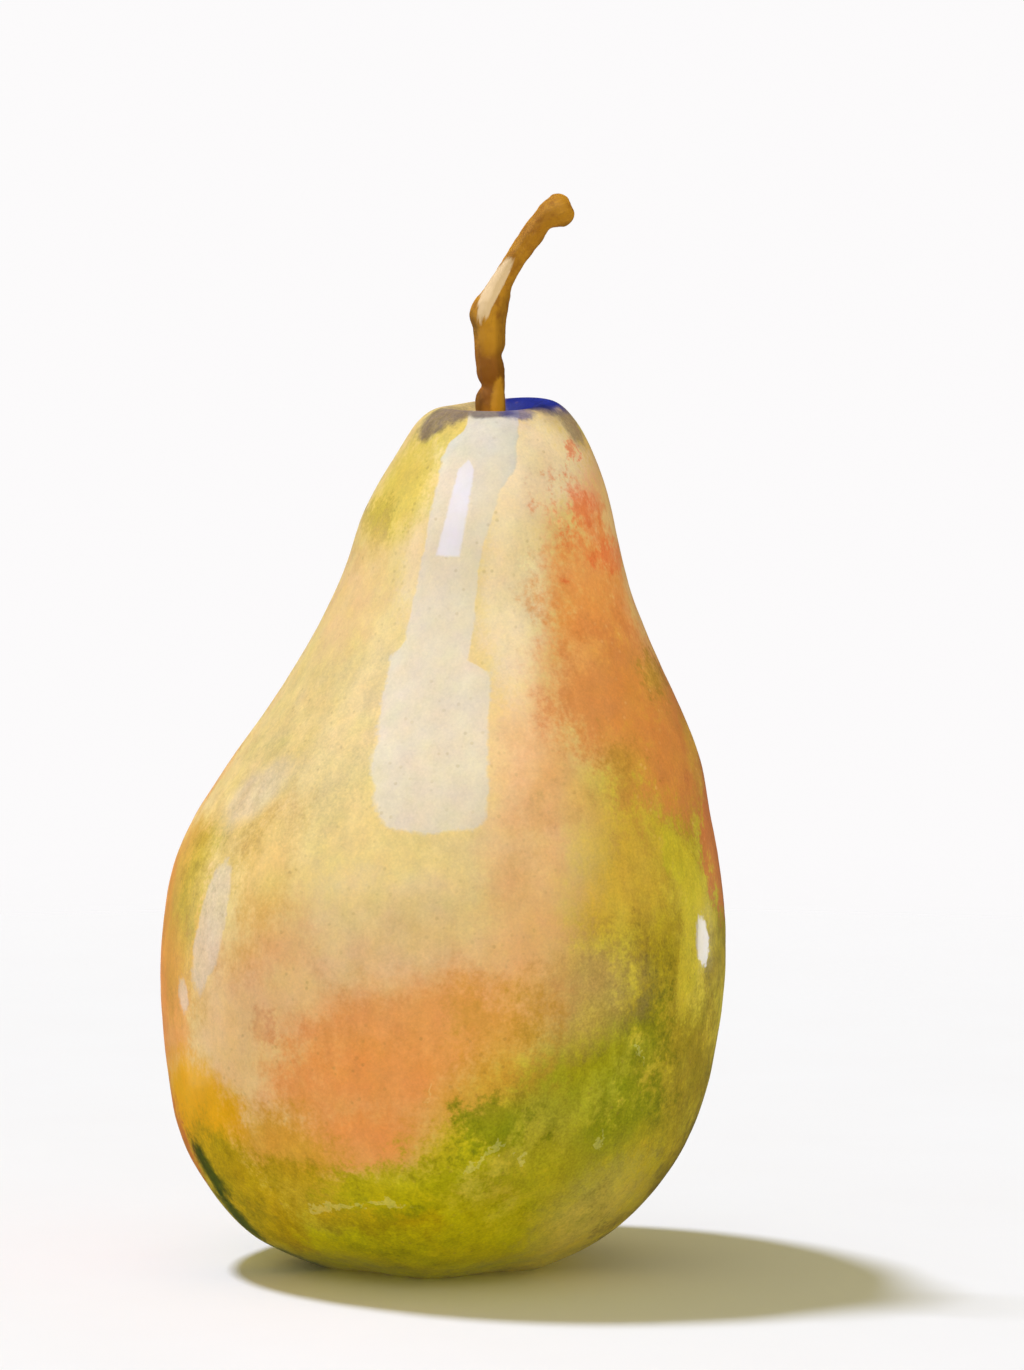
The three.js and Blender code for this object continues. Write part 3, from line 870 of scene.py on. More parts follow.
# %% The blots
BLOTS = [
    # the side that hung in the shade
    ("olive", 0.8, 5, 1.0, (27, -14, 20), (10, 12, 16), -15),
    ("moss", 0.4, 5, 1.2, (13, -27, 26), (14, 10, 10), 35),
    ("moss", 0.35, 1.5, 2.5, (14, -25, 25), (15, 12, 11), 20),
    ("moss", 0.5, 1.5, 1.5, (14, -28.5, 24.5), (3, 5, 2.5), 0),
    ("moss", 0.3, 2, 1.5, (18.5, -25, 18.5), (3, 5, 3), 0),
    ("moss", 0.55, 2.5, 1.2, (22, -21, 21), (5, 7, 6), 30),
    ("moss", 0.5, 6, 1.0, (-4, 30, 22), (26, 14, 14), 0),
    ("khaki", 0.8, 4, 0.8, (15, -17, 7.5), (13, 14, 7), 40),
    ("khaki", 0.4, 3, 1.0, (11.5, -28, 20.5), (5, 6, 6), 0),
    ("leaf", 1.0, 3.5, 0.8, (-5, -20, 5), (19, 16, 10), 0),
    ("gold", 0.8, 6, 0.8, (18, -24, 52), (10, 12, 9), 0),
    ("umber", 0.35, 3, 1.0, (20, -25.5, 37.5), (5, 7, 6), 0),
    ("moss", 0.15, 3, 1.0, (23, -22, 26), (6, 7, 6), 0),
    ("moss", 0.3, 3, 1.0, (18, -23, 12), (6, 7, 5), 30),
    ("umber", 0.25, 3, 1.0, (29, -10, 29), (4, 10, 12), -10),
    ("umber", 0.2, 2.5, 1.0, (22.5, -24, 37.5), (3.5, 6, 3.5), 0),
    ("leaf", 0.3, 3, 1.0, (17, -27, 30), (4, 6, 6), 0),
    ("leaf", 0.4, 2.5, 1.0, (11.6, -27, 14), (4, 6, 4), 0),
    ("straw", 0.25, 3, 1.0, (17, -18, 8), (9, 10, 4), 40),
    # the ripe side
    ("butter", 1.0, 6, 0.5, (-20, -25, 85), (41, 60, 73), 0),
    ("straw", 0.7, 6, 0.8, (-14, -28, 53), (14, 12, 8), 0),
    ("sand", 0.6, 6, 0.6, (-14, -18, 66), (14, 14, 9), 50),
    ("peach", 0.8, 7, 0.6, (-6, -31, 37), (26, 14, 8), 0),
    ("cream", 0.3, 5, 0.8, (-7, -33, 44), (16, 8, 7), 0),
    ("peach", 0.75, 5, 0.7, (10, -27, 58), (5, 9, 20), 0),
    ("peach", 0.6, 4, 0.6, (-24, -22, 28), (7, 10, 12), 0),
    ("apricot", 0.2, 5, 0.8, (9, -30, 43), (5, 9, 9), -15),
    ("apricot", 0.75, 4.5, 0.8, (-5, -31, 31), (16, 12, 7), 16),
    ("apricot", 0.65, 4, 0.8, (-8, -30, 25), (13, 12, 7), 0),
    ("apricot", 0.75, 3, 0.8, (-11, -28, 18.5), (11, 10, 4), 5),
    ("apricot", 0.3, 4, 1.0, (-20, -26, 43), (5, 8, 4), 0),
    ("terracotta", 0.3, 0.8, 0.6, (-21, -26, 31.5), (1.4, 3, 1.8), 0),
    ("honey", 0.7, 3.5, 0.8, (4, -31, 25), (8, 8, 3.5), 45),
    ("honey", 0.5, 3, 1.0, (7, -32, 31), (5, 6, 6), 30),
    ("olive", 0.3, 3, 1.0, (14, -28, 35), (6, 6, 6), 40),
    ("honey", 0.85, 3, 0.8, (-19, -24, 17), (8, 8, 5), -10),
    ("mustard", 0.85, 2.5, 0.8, (-14, -25, 11.5), (14, 10, 4), -5),
    ("leaf", 0.9, 2.5, 1.0, (-5, -28, 13.5), (9, 8, 3), 10),
    ("leaf", 0.85, 2.5, 1.0, (2, -30, 18.5), (5.5, 6, 4), 35),
    ("moss", 0.75, 2, 1.2, (5.6, -31, 21.5), (4.5, 6, 3.4), 30),
    ("moss", 0.3, 2.5, 1.0, (1, -29, 14.5), (4, 6, 2.5), 0),
    ("moss", 0.25, 2.5, 1.0, (-9, -25, 7.5), (5, 6, 3), 0),
    ("honey", 0.15, 6, 0.8, (4, -30, 38), (14, 10, 12), 0),
    ("honey", 0.75, 3, 0.6, (-31, -10, 43), (4, 12, 16), 0),
    ("honey", 0.4, 3, 0.8, (-21, -23, 50), (9, 8, 3.5), 72),
    ("honey", 0.3, 3, 0.8, (-26, -16, 55), (4, 8, 5), 0),
    ("khaki", 0.5, 1.5, 0.8, (-29.2, -14, 47.5), (7, 6, 1.6), 73),
    ("olive", 0.15, 5, 0.8, (-15, -22, 61), (8, 12, 6), 0),
    ("olive", 0.2, 3, 0.8, (-26.5, -16, 52), (4, 8, 6), 0),
    ("peach", 0.8, 7, 1.3, (-29, 24, 44), (15, 21, 25), 0),
    ("apricot", 0.5, 7, 1.5, (-31, 19, 42), (12, 17, 22), 0),
    ("apricot", 0.6, 6, 1.5, (-33, 8, 40), (7, 13, 22), 0),
    ("apricot", 0.4, 5, 1.5, (-30, 12, 22), (9, 14, 10), 0),
    ("apricot", 0.6, 2, 0.6, (-32, -9, 33), (3.5, 8, 9), 0),
    ("apricot", 0.7, 1.5, 0.5, (-34.5, -2, 42), (2.6, 9, 25), 0),
    ("olive", 0.3, 2, 0.6, (-31.5, -11, 42), (3, 8, 9), 0),
    ("apricot", 0.4, 2, 1.0, (-25, 0, 65), (20, 8, 2), 58),
    ("amber", 1.0, 2.5, 0.6, (-29, -14, 20), (6, 12, 7), 0),
    ("mustard", 1.0, 2.5, 0.6, (-24, -16, 11), (10, 12, 5), -45),
    ("moss", 0.4, 4, 1.2, (-24, 5, 8), (9, 15, 7), 0),
    ("rust", 0.9, 0.8, 0.5, (-30.5, 0, 16), (7.5, 10, 1.7), -70),
    # painted shade: dark green lines along the lower left edge and along the bottom
    ("bottle", 0.9, 1.0, 0.2, (-27.8, -12, 12.8), (4.6, 7, 0.8), -60),
    ("bottle", 0.85, 0.9, 0.2, (-24.5, -9, 7), (4, 7, 0.8), -50),
    ("bottle", 0.6, 0.6, 0.15, (-18, -6, 1.8), (4.5, 7, 0.7), -25),
    # painted shade: umber along the lower right edge as seen from the front
    ("umber", 0.6, 3, 0.8, (29, 1, 13), (4.5, 12, 9), -28),
    ("umber", 0.6, 2.5, 0.8, (21, 0, 4), (6.5, 11, 3.5), -48),
    # the neck
    ("cream", 0.75, 3.5, 0.8, (8.5, -15, 83), (4.5, 8, 18), 0),
    ("cream", 0.4, 2.5, 0.8, (-3.2, -13, 86), (2.6, 8, 6.5), 0),
    ("lemon", 0.8, 3, 0.8, (-5, -8, 94), (9, 9, 4.5), 58),
    ("lemon", 0.7, 1.5, 0.8, (1.2, -7, 101), (2, 5, 3), 40),
    ("olive", 0.35, 1.5, 1.2, (-8.5, -7, 90.5), (2, 6, 3.5), 60),
    ("peach", 0.5, 4, 0.8, (-11, -7, 82), (6, 9, 4), 60),
    # the blush, from the shoulder down the right and round to the back
    ("peach", 0.8, 4, 0.8, (20, 0, 86), (6, 14, 17), 20),
    ("cream", 0.9, 2.5, 0.8, (12.5, -9, 97.5), (5.5, 9, 6.5), 0),
    ("apricot", 0.75, 3.5, 1.2, (17.5, -11, 83.5), (6, 10, 9), 10),
    ("apricot", 0.75, 4, 1.0, (20, -15, 74), (8, 14, 13), 0),
    ("terracotta", 0.35, 3, 1.2, (23, -15, 68), (9, 12, 12), 0),
    ("terracotta", 0.65, 4, 0.8, (22, 14, 68), (14, 18, 18), 0),
    ("terracotta", 0.5, 3, 1.0, (29, -8, 64), (6, 12, 10), 0),
    ("apricot", 0.4, 3, 1.0, (26.5, -13, 64), (5, 8, 8), 0),
    ("apricot", 0.3, 4, 1.0, (14, -24, 61), (6, 8, 6), 0),
    ("terracotta", 0.6, 6, 1.5, (31, 9, 56), (9, 15, 9), 0),
    ("terracotta", 0.85, 1, 0.8, (33.5, -6, 53), (3.2, 9, 8.5), -8),
    ("flame", 0.25, 2, 1.3, (17.5, -9, 91), (3.5, 6, 6), 0),
    ("flame", 0.35, 1.5, 1.2, (15.5, -12, 91.5), (2, 5, 2.2), 0),
    ("flame", 0.35, 1.5, 1.2, (20, -6, 86), (1.6, 6, 6), 105),
    ("flame", 0.6, 0.8, 0.8, (15.5, -8, 99), (0.8, 5, 1.6), 0),
    # what lies over it
    ("olive", 0.35, 1.8, 1.0, (21, -20, 63.5), (2.6, 6, 2.2), 0),
    ("olive", 0.2, 2.5, 1.0, (18, -23, 60), (4, 6, 3), 0),
    ("olive", 0.5, 1.5, 1.0, (25, -9, 72), (1.8, 5, 3), 0),
    ("bright", 0.75, 0.4, 0.5, (29.5, -15, 39.5), (1.5, 6, 8.5), -8),
    ("bright", 0.85, 0.4, 0.5, (29.8, -14.5, 46), (1.8, 6, 3.8), 10),
    ("bright", 0.85, 0.4, 0.5, (28.4, -16, 50.2), (1.6, 6, 5.5), 30),
]

# %% Lay the ground and the blots
skin = Finish("pear skin")
clouds = skin.noise(9, detail=4, rough=0.6)
flecks = skin.noise(2.2, detail=4, rough=0.6, stretch=(1, 1, 1.4))
streaks = skin.noise(1.5, detail=3, rough=0.6, stretch=(1, 1, 9))
specks = skin.noise(0.6, detail=2, rough=0.6)
dust = skin.noise(0.28, detail=1, rough=0.5)
# Three of them swing round 0 as well, for shades and for edges. An edge that is fully torn is moved in
# and out by a few millimetres.
cloud_swing, fleck_swing, speck_swing = clouds - 0.5, flecks - 0.5, specks - 0.5
torn = cloud_swing * 12 + fleck_swing * 8 + speck_swing * 6
colour = skin.blend(clouds.rise(0.4, 0.65), COLOURS["olive"], COLOURS["khaki"])
for name, strength, soft, ragged, centre, reach, tilt in BLOTS:
    mask = skin.patch(centre, reach, soft, torn * ragged, tilt)
    colour = skin.blend(mask * strength, colour, COLOURS[name])
print("blots on the skin:", len(BLOTS))

# %% [markdown]
# A painted highlight runs down the front of this pear: a pale band from the crown to the belly that
# narrows at the waist. The bright spot on the neck is a painted highlight too. Along the left of the
# belly lies a narrow painted highlight, the streak, with a smear above it and a fleck below it, and
# on the right a small one, the spark. The coat of gloss is nearly all in these places, so it is they
# that mirror the lamps, and the real reflection lies over the painted one.

# %% The painted highlights
# Pale colours painted as highlights: on the band, on the band where it has no gloss, on the streak, and on
# the spot and the spark.
PAINTED_BAND_HIGHLIGHT = linear(203, 189, 167)
PAINTED_MATT_HIGHLIGHT = linear(205, 199, 187)
PAINTED_STREAK_HIGHLIGHT = linear(206, 187, 164)
PAINTED_SPOT_HIGHLIGHT = linear(196, 188, 195)
across, deep, high = [skin.node("SeparateXYZ", {}, {0: skin.place}, axis) for axis in "XYZ"]
on_front = deep.rise(-3, -9)
BAND_LEFT, BAND_RIGHT = -8.2, 5.6  # its edges on the belly, in millimetres
BAND_BEND, BAND_END = 62, 6.2  # where its round end begins, and how far down that end reaches


def band_edge(start, bend, lean, steps):
    """A line that is upright up to a height, leans above it, and moves aside in soft steps."""
    line = (high - bend).at_least(0) * lean + start
    for low, top, shift in steps:
        line = line + high.rise(low, top) * shift
    return line


left_edge = band_edge(BAND_LEFT, 64, 0.2, [(74.5, 77.5, 1.3), (97.5, 100.5, 0.85), (99.7, 101.7, 1.35)])
right_edge = band_edge(BAND_RIGHT, 74.5, 0.11, [(73.6, 75.2, -2.4), (86, 94, 1.2), (94, 97, 1.6)])
side = (across - (left_edge + right_edge) / 2) / ((right_edge - left_edge) / 2)
below = (BAND_BEND - high).at_least(0) / BAND_END
out = (side**4 + below**4) ** 0.25 + cloud_swing * 0.2 + fleck_swing * 0.3 + speck_swing * 0.06
band = out.rise(1.05, 0.95) * on_front
print("the band is", round(BAND_RIGHT - BAND_LEFT, 1), "mm wide on the belly")

# %% [markdown]
# The bright spot is worked out as the distance to the nearest of five straight edges: two that lean
# and close in, a level one below, and a gable on top. The others are blots like those of the colours.
# Last, the four painted highlights are laid on in their own pale colours. At the crown and on its right the
# band has no gloss, and there it gets a matt pale painted colour.

# %% The bright spot, the streak and the spark
SPOT_FOOT, SPOT_TOP = 86.9, 98  # heights in millimetres
lane = across - 0.68 - (high - SPOT_FOOT) * 0.22
half = 1.4 - (high - SPOT_FOOT) * 0.045
pane = (half - lane).at_most(half + lane).at_most(high - SPOT_FOOT)
pane = pane.at_most(SPOT_TOP - high - lane.at_least(lane * -1) * 1.2)
spot = (pane + speck_swing * 0.4).rise(-0.2, 0.2) * on_front
ragged = fleck_swing * 2.2 + speck_swing
streak = skin.patch((-27.4, -19, 43), (8, 9, 1.65), 0.35, ragged, tilt=77)
smear = skin.patch((-21.7, -14, 58.8), (5.8, 9, 1.9), 1.2, ragged, tilt=40) * 0.7
fleck = skin.patch((-30.8, -15, 34.5), (0.6, 5, 2.0), 0.3, speck_swing, tilt=5)
streak = streak.at_least(smear).at_least(fleck)
spark = skin.patch((30.9, -13, 40.8), (0.8, 5, 3.0), 0.25, speck_swing * 1.2, tilt=5)
glossy = high.rise(101, 95) * across.rise(8.6, 6.2)
# Paint the highlights' pale colours: the band, its matt part, the streak with its smear and fleck, and the
# spot and the spark.
colour = skin.blend(band * 0.85, colour, PAINTED_BAND_HIGHLIGHT)
colour = skin.blend(band * (1 - glossy) * 0.85, colour, PAINTED_MATT_HIGHLIGHT)
colour = skin.blend(streak * 0.6, colour, PAINTED_STREAK_HIGHLIGHT)
colour = skin.blend(spot.at_least(spark * 0.65), colour, PAINTED_SPOT_HIGHLIGHT)

# %% [markdown]
# Over the colours lie russet and painted shade. Russet is a thin cork that covers the skin round the
# stem and in the calyx basin. Dark russet on the rim and the crest also paints the shade round the
# stem cavity, and the crease at the foot of the stem is darkest, with painted shade. The hollow
# beside the stem and the lip of the rim in front of it are painted deep blue, as painted shade.

# %% Russet and painted shade
RUSSET = linear(172, 146, 100)
DARK_RUSSET_AND_SHADE = linear(106, 90, 86)
PAINTED_HOLLOW_SHADE = linear(28, 38, 120)
# How dark and how soft each dark mark is, its centre, reach and tilt. Each is dark russet and painted shade
# round the stem cavity.
DARK_MARKS = [
    (0.8, 0.5, (-0.8, -4.5, 102), (3, 4, 1.2), 42),  # on the rim, on the left
    (0.8, 0.5, (1.6, -5, 103.2), (2.6, 4, 1.2), 15),  # from there to the crest
    (0.65, 0.5, (15.5, -2, 101.3), (3, 6, 0.9), -62),  # on the rim, on the right
    (0.5, 0.8, (5.4, -1, 104), (6, 8, 1.2), 0),  # round the stem
]
rough_edge = fleck_swing * 10 + cloud_swing * 4
crown = skin.patch((5.8, 0, 104.5), (11.5, 11.5, 4.2), 2.4, rough_edge)
dark_russet_and_shade = 0.0
for cover, soft, centre, reach, tilt in DARK_MARKS:
    dark_russet_and_shade = (skin.patch(centre, reach, soft, rough_edge * 0.2, tilt) * cover).at_least(dark_russet_and_shade)
# Painted shade in the crease at the foot of the stem, in front.
crease = skin.patch((5.6, -7, 103.5), (3, 1.5, 1), 0.4, rough_edge * 0.1)
# Painted blue shade in the hollow beside the stem and on the lip of the rim in front of it.
hollow = skin.patch((10.2, 1.2, 103.8), (4.6, 6.1, 2.6), 0.8, rough_edge * 0.15)
lip = skin.patch((9.2, -7, 103.3), (2.3, 2.4, 0.9), 0.5, rough_edge * 0.2, tilt=-4)
basin_russet = skin.patch((-1.8, 0, 3), (11, 11, 7), 2.6, rough_edge)
russet = (crown * 0.3 * (1 - band)).at_least(basin_russet * 0.8)
dark_russet_and_shade = (dark_russet_and_shade * (0.7 + specks * 0.6)).at_least(crease * 0.85)
colour = skin.blend(russet, colour, RUSSET)
colour = skin.blend(dark_russet_and_shade, colour, DARK_RUSSET_AND_SHADE)
colour = skin.blend(hollow.at_least(lip * 0.7), colour, PAINTED_HOLLOW_SHADE)

# %% [markdown]
# Lenticels are the pores of the skin: cork dots a third of a millimetre wide, two millimetres apart,
# brown on the yellow and pale on the blush. A Voronoi texture in space, cut by the skin, gives dots
# of all sizes.

# %% Pores
PORE_CELL = 1.45  # how far apart they are, in millimetres
PORE_EDGE = (0.32, 0.12)  # how far from its middle a pore begins, and where it is full
PORE_DARK = linear(140, 108, 52)
PORE_PALE = linear(240, 190, 120)
pores = skin.vector("DIVIDE", skin.place, (PORE_CELL,) * 3)
pores = skin.node("TexVoronoi", {}, {"Vector": pores, "Scale": 1, "Randomness": 1}, "Distance") * PORE_CELL
pores = pores.rise(*PORE_EDGE) * clouds.rise(0.4, 0.6) * (1 - spot)
blush = skin.patch((26, -6, 74), (16, 26, 30), 8, torn)
colour = skin.blend(pores * (1 - blush) * 0.25, colour, PORE_DARK)
colour = skin.blend(pores * blush * 0.3, colour, PORE_PALE)

# %% [markdown]
# Twigs have scratched it here and there, and the scratches have healed to pale, slightly raised
# lines. Each is a long thin blot whose coordinates have been stirred with noise, so it wanders.

# %% Healed scratches
SCAR_LIGHT = (0.3, 0.27, 0.1, 1)
STIR = 5  # how far the coordinates are moved about, in millimetres
# Centre, half length and half width in millimetres, and tilt in degrees.
SCRATCHES = [
    ((-12.5, -24, 10.8), 3.2, 0.55, 12),
    ((-6.5, -27, 11.6), 2.6, 0.5, -5),
    ((5.4, -30, 17.5), 2.8, 0.3, 40),
    ((9.5, -28, 17), 1.1, 0.35, 30),
    ((18.3, -25, 18), 1.2, 0.3, 60),
    ((23.3, -23, 29), 1.6, 0.2, 80),
    ((-1, -32, 25.5), 1.1, 0.25, 65),
    ((13.8, -13, 91.2), 0.9, 0.6, -10),
    ((10.2, -16, 86), 1.3, 0.5, -40),
    ((-14, 25, 40), 4, 0.3, 35),
    ((8, 29, 24), 3, 0.3, -20),
]
still = skin.place
stir = skin.node("TexNoise", {}, {"Vector": still, "Scale": 0.45, "Detail": 3, "Roughness": 0.6}, "Color")
centred = skin.vector("ADD", still, (-STIR / 2,) * 3)
skin.place = skin.vector("MULTIPLY_ADD", stir, (STIR,) * 3, centred)
print("scratches:", len(SCRATCHES))
scars = 0.0
for centre, length, width, tilt in SCRATCHES:
    scars = skin.patch(centre, (length, 6, width), 0.15, speck_swing * 1.5, tilt).at_least(scars)
skin.place = still
colour = skin.blend(scars * 0.6, colour, SCAR_LIGHT, "SCREEN")

# %% [markdown]
# Close up, no two places on a skin have the same shade. All the noises together lighten and darken
# it, most where it is dark and least on the painted highlights, and each of red, green and blue
# drifts a little by itself. The same noises give the bump, which is no deeper than the peel of a pear.

# %% The skin's grain
PEEL_DEPTH = 0.06 * MM
dark = skin.node("SeparateColor", {}, {0: colour}).rise(0.75, 0.35)
fine = (streaks - 0.5) * 0.16 + speck_swing * 0.22 + (dust - 0.5) * 0.26
broad = fleck_swing * 0.3 + cloud_swing * 0.2
shade = (fine * (0.75 + dark * 1.8) + broad * (1 + dark * 2)) * (1 - band * 0.5)
shade = shade * (1 - spot.at_least(spark) * 0.8)
grain = skin.node("CombineColor", {}, {0: 1 + shade, 1: 1 + shade, 2: 1 + shade * 0.8})
colour = skin.blend(1.0, colour, grain, "MULTIPLY")
HUE_DRIFT = (0.12, 0.16, 0.4)  # how far red, green and blue each wander by themselves
hues = skin.node("TexNoise", {}, {"Vector": skin.place, "Scale": 0.3, "Detail": 4}, "Color")
hues = skin.vector("MULTIPLY_ADD", hues, HUE_DRIFT, [1 - drift / 2 for drift in HUE_DRIFT])
colour = skin.blend(1.0, colour, hues, "MULTIPLY")
peel = skin.noise(0.8, detail=2, rough=0.5)
height = peel * 0.6 + flecks * 0.5 + pores * 0.5 + russet * peel + scars * 0.8
bump = skin.node("Bump", {}, {"Strength": 0.35, "Distance": PEEL_DEPTH, "Height": height})

# %% [markdown]
# The skin itself is nearly matt, and lets a little light in, which comes out again redder. The coat
# is a wax: faint all over, strong on the painted highlights, and none where there is russet.

# %% The skin's gloss
SKIN_ROUGHNESS = 0.38
SKIN_COAT = 0.04
rough = SKIN_ROUGHNESS + fleck_swing * 0.2 + russet * 0.3
polish = (band * glossy * 0.13 + spot * 0.21).at_least(streak * 0.1).at_least(spark)
coat = (SKIN_COAT + polish - russet) * (0.85 + flecks * 0.3)
material = skin.end(
    {
        "Base Color": colour,
        "Roughness": rough,
        "Normal": bump,
        "Coat Weight": coat.at_least(0),
        "Coat Roughness": 0.08,
        "Specular IOR Level": 0.05,
        "Subsurface Weight": 0.12,
        "Subsurface Radius": (1.0, 0.55, 0.2),
        "Subsurface Scale": 0.003,
    }
)
fruit.data.materials.append(material)
print("the skin has", len(skin.tree.nodes), "nodes")

# %% [markdown]
# ## The bark
#
# The stem is corky and brown, amber where the light gets under its thin bark, and nearly black in the
# furrows. All of its patterns read the straightened coordinates, so that the fibres follow the bend.
# On the left above the elbow a pale strip is painted on as a highlight, and lies a little lower in the bump.

# %% The colours of the bark
BARK_COLOURS = {
    "gold": linear(208, 150, 40),
    "amber": linear(182, 128, 32),
    "brown": linear(158, 105, 28),
    "red": linear(136, 80, 16),
    "pale": linear(226, 198, 158),
    "dark": linear(72, 44, 12),
}
# Where it is, its colour, how strongly it covers, how soft and how ragged its edge is, and its centre
# and reach on the straightened stem.
BARK_BLOTS = [
    ("lower half", "red", 0.85, 1.2, 5, (-0.3, -0.6, 10.6), (2.4, 4, 4)),
    ("facet", "gold", 0.85, 0.35, 1.6, (1.2, -1.2, 7.8), (0.9, 1.8, 2.6)),
    ("pad", "red", 0.25, 1.0, 3, (-1.0, 0, 29.5), (2, 4, 2.6)),
    ("elbow", "gold", 0.5, 0.6, 2, (0.2, -1.6, 15.8), (1.3, 2, 2.6)),
    ("heel", "dark", 0.5, 0.5, 2, (-1.4, -0.6, 7.4), (0.9, 3, 1.8)),
    ("bud scar", "dark", 0.5, 0.6, 1.2, (-2, 0, 16.6), (1.6, 1.6, 1.4)),
]

# %% The bark's finish
BARK_DEPTH = 0.12 * MM
bark = Finish("stem bark")
on_stem = bark.node("Attribute", {"attribute_name": "straight"}, output="Vector")
bark.place = bark.vector("MULTIPLY", on_stem, PER_METRE)
fibres = bark.noise(0.55, detail=4, rough=0.65, stretch=(1, 1, 7))
mottle = bark.noise(1.6, detail=4, rough=0.65)
specks = bark.noise(0.35, detail=3, rough=0.6)
colour = bark.blend(mottle.rise(0.42, 0.66), BARK_COLOURS["amber"], BARK_COLOURS["brown"])
marks = {}
for mark, name, cover, soft, ragged, centre, reach in BARK_BLOTS:
    marks[mark] = bark.patch(centre, reach, soft, (mottle - 0.5) * ragged)
    colour = bark.blend(marks[mark] * cover, colour, BARK_COLOURS[name])
colour = bark.blend(fibres.rise(0.56, 0.78) * 0.3, colour, BARK_COLOURS["dark"])
# Painted shade: the right side of the stem is darkened, except on the facet.
right_side = bark.node("SeparateXYZ", {}, {0: bark.place}, "X").rise(0.7, 1.4)
colour = bark.blend(right_side * (1 - marks["facet"]) * 0.35, colour, BARK_COLOURS["dark"])
# A painted highlight: a pale strip on the left above the elbow, also a little lower in the bump.
painted_stem_highlight = bark.patch((-0.7, -1.4, 21.2), (1.05, 1.8, 4.1), 0.2, (fibres - 0.5) * 1.4)
colour = bark.blend(painted_stem_highlight * 0.9, colour, BARK_COLOURS["pale"])
height = fibres * 0.8 + mottle * 0.4 + specks * 0.15 - painted_stem_highlight * 0.5
bump = bark.node("Bump", {}, {"Strength": 0.6, "Distance": BARK_DEPTH, "Height": height})
rough = 0.5 + mottle * 0.25
material = bark.end({"Base Color": colour, "Roughness": rough, "Normal": bump, "Specular IOR Level": 0.04})
stem.data.materials.append(material)
print("the bark has", len(bark.tree.nodes), "nodes")

# %% [markdown]
# ## The dried flower
#
# Sepals, stamens and styles have dried to the brown of tobacco, greyer at their tips, with veins
# that run out from the cup.

# %% The calyx's finish
PAPER_DEPTH = 0.1 * MM
dried = Finish("dried flower")
paper = dried.noise(0.7, detail=4, rough=0.6)
veins = dried.noise(0.3, detail=3, rough=0.6, stretch=(1, 1, 5))
TOBACCO = linear(104, 74, 44)
ASH = linear(140, 122, 96)
SOOT = linear(46, 34, 24)
colour = dried.blend(paper.rise(0.35, 0.7), TOBACCO, SOOT)
colour = dried.blend(veins.rise(0.55, 0.7) * 0.5, colour, ASH)
bump = dried.node("Bump", {}, {"Strength": 0.6, "Distance": PAPER_DEPTH, "Height": paper + veins * 0.5})
material = dried.end({"Base Color": colour, "Roughness": 0.7 + paper * 0.2, "Normal": bump})
calyx.data.materials.append(material)
print("the dried flower has", len(dried.tree.nodes), "nodes")

# %% [markdown]
# ## Standing in for the solids
#
# Each piece hides the plain solid that it stands for and rides on the same body.

# %% Tie the pieces to the frame
for piece, node, slot in [
    (fruit, "fruit", "pear_skin"),
    (stem, "stem", "stem_bark"),
    (calyx, "calyx", "dried_calyx"),
]:
    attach(piece, "root")
    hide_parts(node)
    print(piece.name, "stands for", node, "with the finish in", slot)

# %% [markdown]
# ## The table top
#
# The pear stands on a plain pale surface that runs into the white behind it. A disc with a hard edge
# would draw a horizon, so its finish lets go towards the edge. It also lets light through from
# underneath, so that the calyx can be looked at from below.

# %% The floor
FLOOR_RADIUS = 0.62
FLOOR_FADE = (420, 140)  # how far out it has gone, and where it starts to go, in millimetres
clear_selection()
bpy.ops.mesh.primitive_circle_add(vertices=96, radius=FLOOR_RADIUS, fill_type="NGON", location=(0, 0, 0))
floor = name_new("table_top")
table = Finish("pale table top")
reach = table.vector("LENGTH", table.place, output="Value")
weave = table.noise(30, detail=3)
colour = table.blend(weave, linear(246, 245, 243), linear(243, 241, 238))
cover = reach.rise(*FLOOR_FADE) * (1 - table.node("NewGeometry", output="Backfacing"))
floor.data.materials.append(table.end({"Base Color": colour, "Roughness": 0.75, "Alpha": cover}))
floor.visible_glossy = False
print("table top:", 2 * FLOOR_RADIUS, "m across")

# %% [markdown]
# ## Light and camera
#
# The surface is lit by a high lamp on the left, a little behind the pear, which casts the shadow,
# and by the room. The lamp is cool, like the sky, and the room is warm, so the shadow, where only
# the room's light comes, turns olive. That light alone would leave the front of the pear dull. Two
# broad boxes light it from the left and the right, and light linking keeps them off the floor,
# where they would wash the shadow out. A third, under the table, stands for the light that a table
# throws back up.
#
# A pear is read by its highlights, so what lights it and what it mirrors are kept apart too. A wide
# window in front and to the left is only mirrored: it draws the long highlight from the neck to the
# belly. A card close by on the left lines the belly in the same way, and a small one behind puts a
# spark on the right.

# %% Helper: place something in a direction round the pear
def put_round(name, data, azimuth, elevation, distance, target):
    """Adds an object that looks at the target. Azimuth 0 is in front of the pear, and 90 on its right."""
    thing = bpy.data.objects.new(name, data)
    bpy.context.scene.collection.objects.link(thing)
    turn, rise = math.radians(azimuth), math.radians(elevation)
    way = Vector((math.sin(turn) * math.cos(rise), -math.cos(turn) * math.cos(rise), math.sin(rise)))
    thing.location = Vector(target) + way * distance
    thing.rotation_euler = (-way).to_track_quat("-Z", "Y").to_euler()
    return thing


# %% Lights
LIGHT_DISTANCE = 0.6
only_pear = bpy.data.collections.new("lit by the boxes")
for piece in (fruit, stem, calyx):
    only_pear.objects.link(piece)


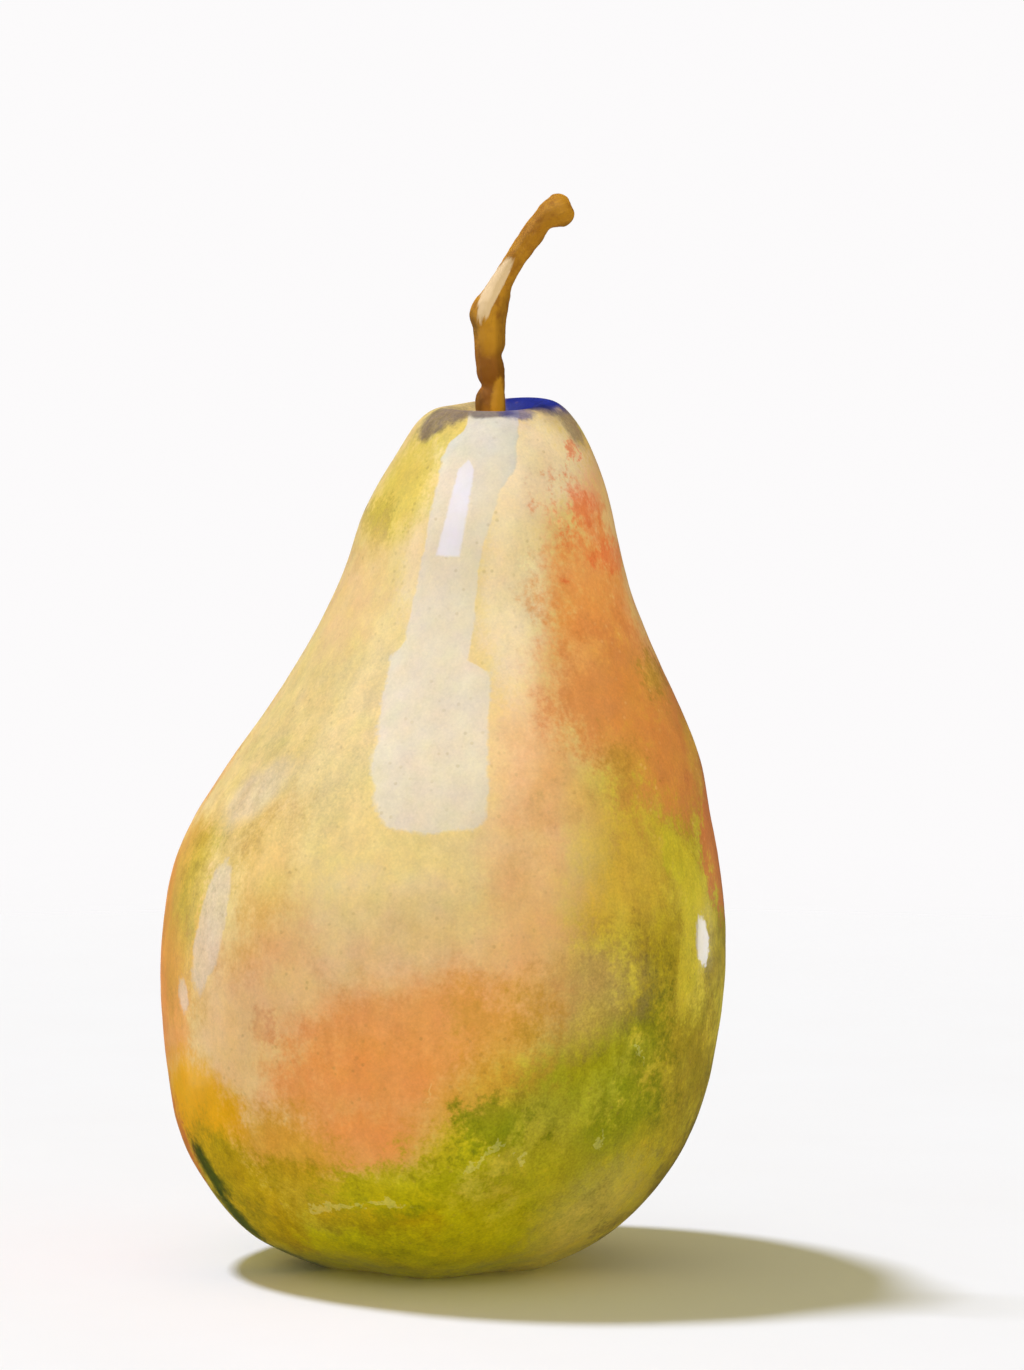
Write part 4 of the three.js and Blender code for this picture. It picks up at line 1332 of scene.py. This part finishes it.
def soft_box(name, azimuth, elevation, width, height, brightness, target, distance=LIGHT_DISTANCE):
    """A box of light, its width and height in degrees as the target sees it."""
    lamp = bpy.data.lights.new(name, "AREA")
    lamp.shape = "RECTANGLE"
    lamp.size = 2 * distance * math.tan(math.radians(width / 2))
    lamp.size_y = 2 * distance * math.tan(math.radians(height / 2))
    lamp.energy = brightness * math.pi * lamp.size * lamp.size_y
    box = put_round(name, lamp, azimuth, elevation, distance, target)
    box.visible_camera = False
    box.light_linking.receiver_collection = only_pear
    return box


PEAR_MIDDLE = (0, 0, 0.065)
LEFT_BELLY = (-0.026, -0.016, 0.047)
RIGHT_BELLY = (0.031, -0.013, 0.040)
lighting = [
    soft_box("key box", -25, 40, 60, 40, 1.04, PEAR_MIDDLE),
    soft_box("fill box", 62, 22, 60, 50, 0.93, PEAR_MIDDLE),
    soft_box("table bounce", 0, -82, 70, 70, 0.3, PEAR_MIDDLE),
]
lighting[-1].light_linking.blocker_collection = only_pear  # it shines through the table
mirrored = [
    soft_box("long window", -35, 50, 104, 58, 14.0, PEAR_MIDDLE),
    soft_box("left card", -108, 4, 38, 56, 4.5, LEFT_BELLY, 0.15),
    soft_box("right card", 130, -5.5, 19, 9, 2.9, RIGHT_BELLY, 0.12),
]
for box in mirrored:
    box.visible_diffuse = False
sun = bpy.data.lights.new("high lamp", "SUN")
sun.energy = 3.03
sun.angle = math.radians(7)  # how wide it is in the sky, which softens the edge of the shadow
sun.color = (0.72, 0.77, 1.0)
lighting.append(put_round("high lamp", sun, -121, 65, 1.0, PEAR_MIDDLE))
for lamp in lighting:
    lamp.visible_glossy = False
print("lamps:", len(lighting), "that light and", len(mirrored), "that are mirrored")

# %% [markdown]
# The room is what the eye of the camera sees as white, what lights the shadows, and what the skin
# mirrors. These three are set apart by the kind of ray: a white that bright would drown the skin's
# deep greens if they mirrored it, so mirrored rays find a dimmer room, as they would with black
# flags standing round the pear.

# %% The room
ROOM_SEEN = (0.973, 0.96, 0.965, 1)
ROOM_MIRRORED = (0.1, 0.1, 0.1, 1)
ROOM_LIGHT = (0.5, 0.465, 0.293, 1)
world = bpy.data.worlds.new("bright room")
bpy.context.scene.world = world
room = Graph(world)
colour = room.blend(room.node("LightPath", output="Is Glossy Ray"), ROOM_LIGHT, ROOM_MIRRORED)
colour = room.blend(room.node("LightPath", output="Is Camera Ray"), colour, ROOM_SEEN)
room.node("OutputWorld", {}, {"Surface": room.node("Background", {}, {"Color": colour})})
bpy.context.scene.view_settings.view_transform = "Standard"

# %% [markdown]
# A long lens from a metre away, only a little above the table, shows the pear without the swelling
# that a near camera gives. It aims to the right of the pear, to leave room for the shadow.

# %% The camera
CAMERA_DISTANCE = 1.0
CAMERA_ELEVATION = 6
AIM = (0.00829, 0, 0.070)
camera_data = bpy.data.cameras.new("camera")
camera_data.sensor_width = 36
camera_data.lens = 218.7
camera_data.clip_start = 0.05
camera_data.clip_end = 10
camera = put_round("camera", camera_data, 0, CAMERA_ELEVATION, CAMERA_DISTANCE, AIM)
bpy.context.scene.camera = camera
print("camera:", camera_data.lens, "mm lens from", CAMERA_DISTANCE, "m")
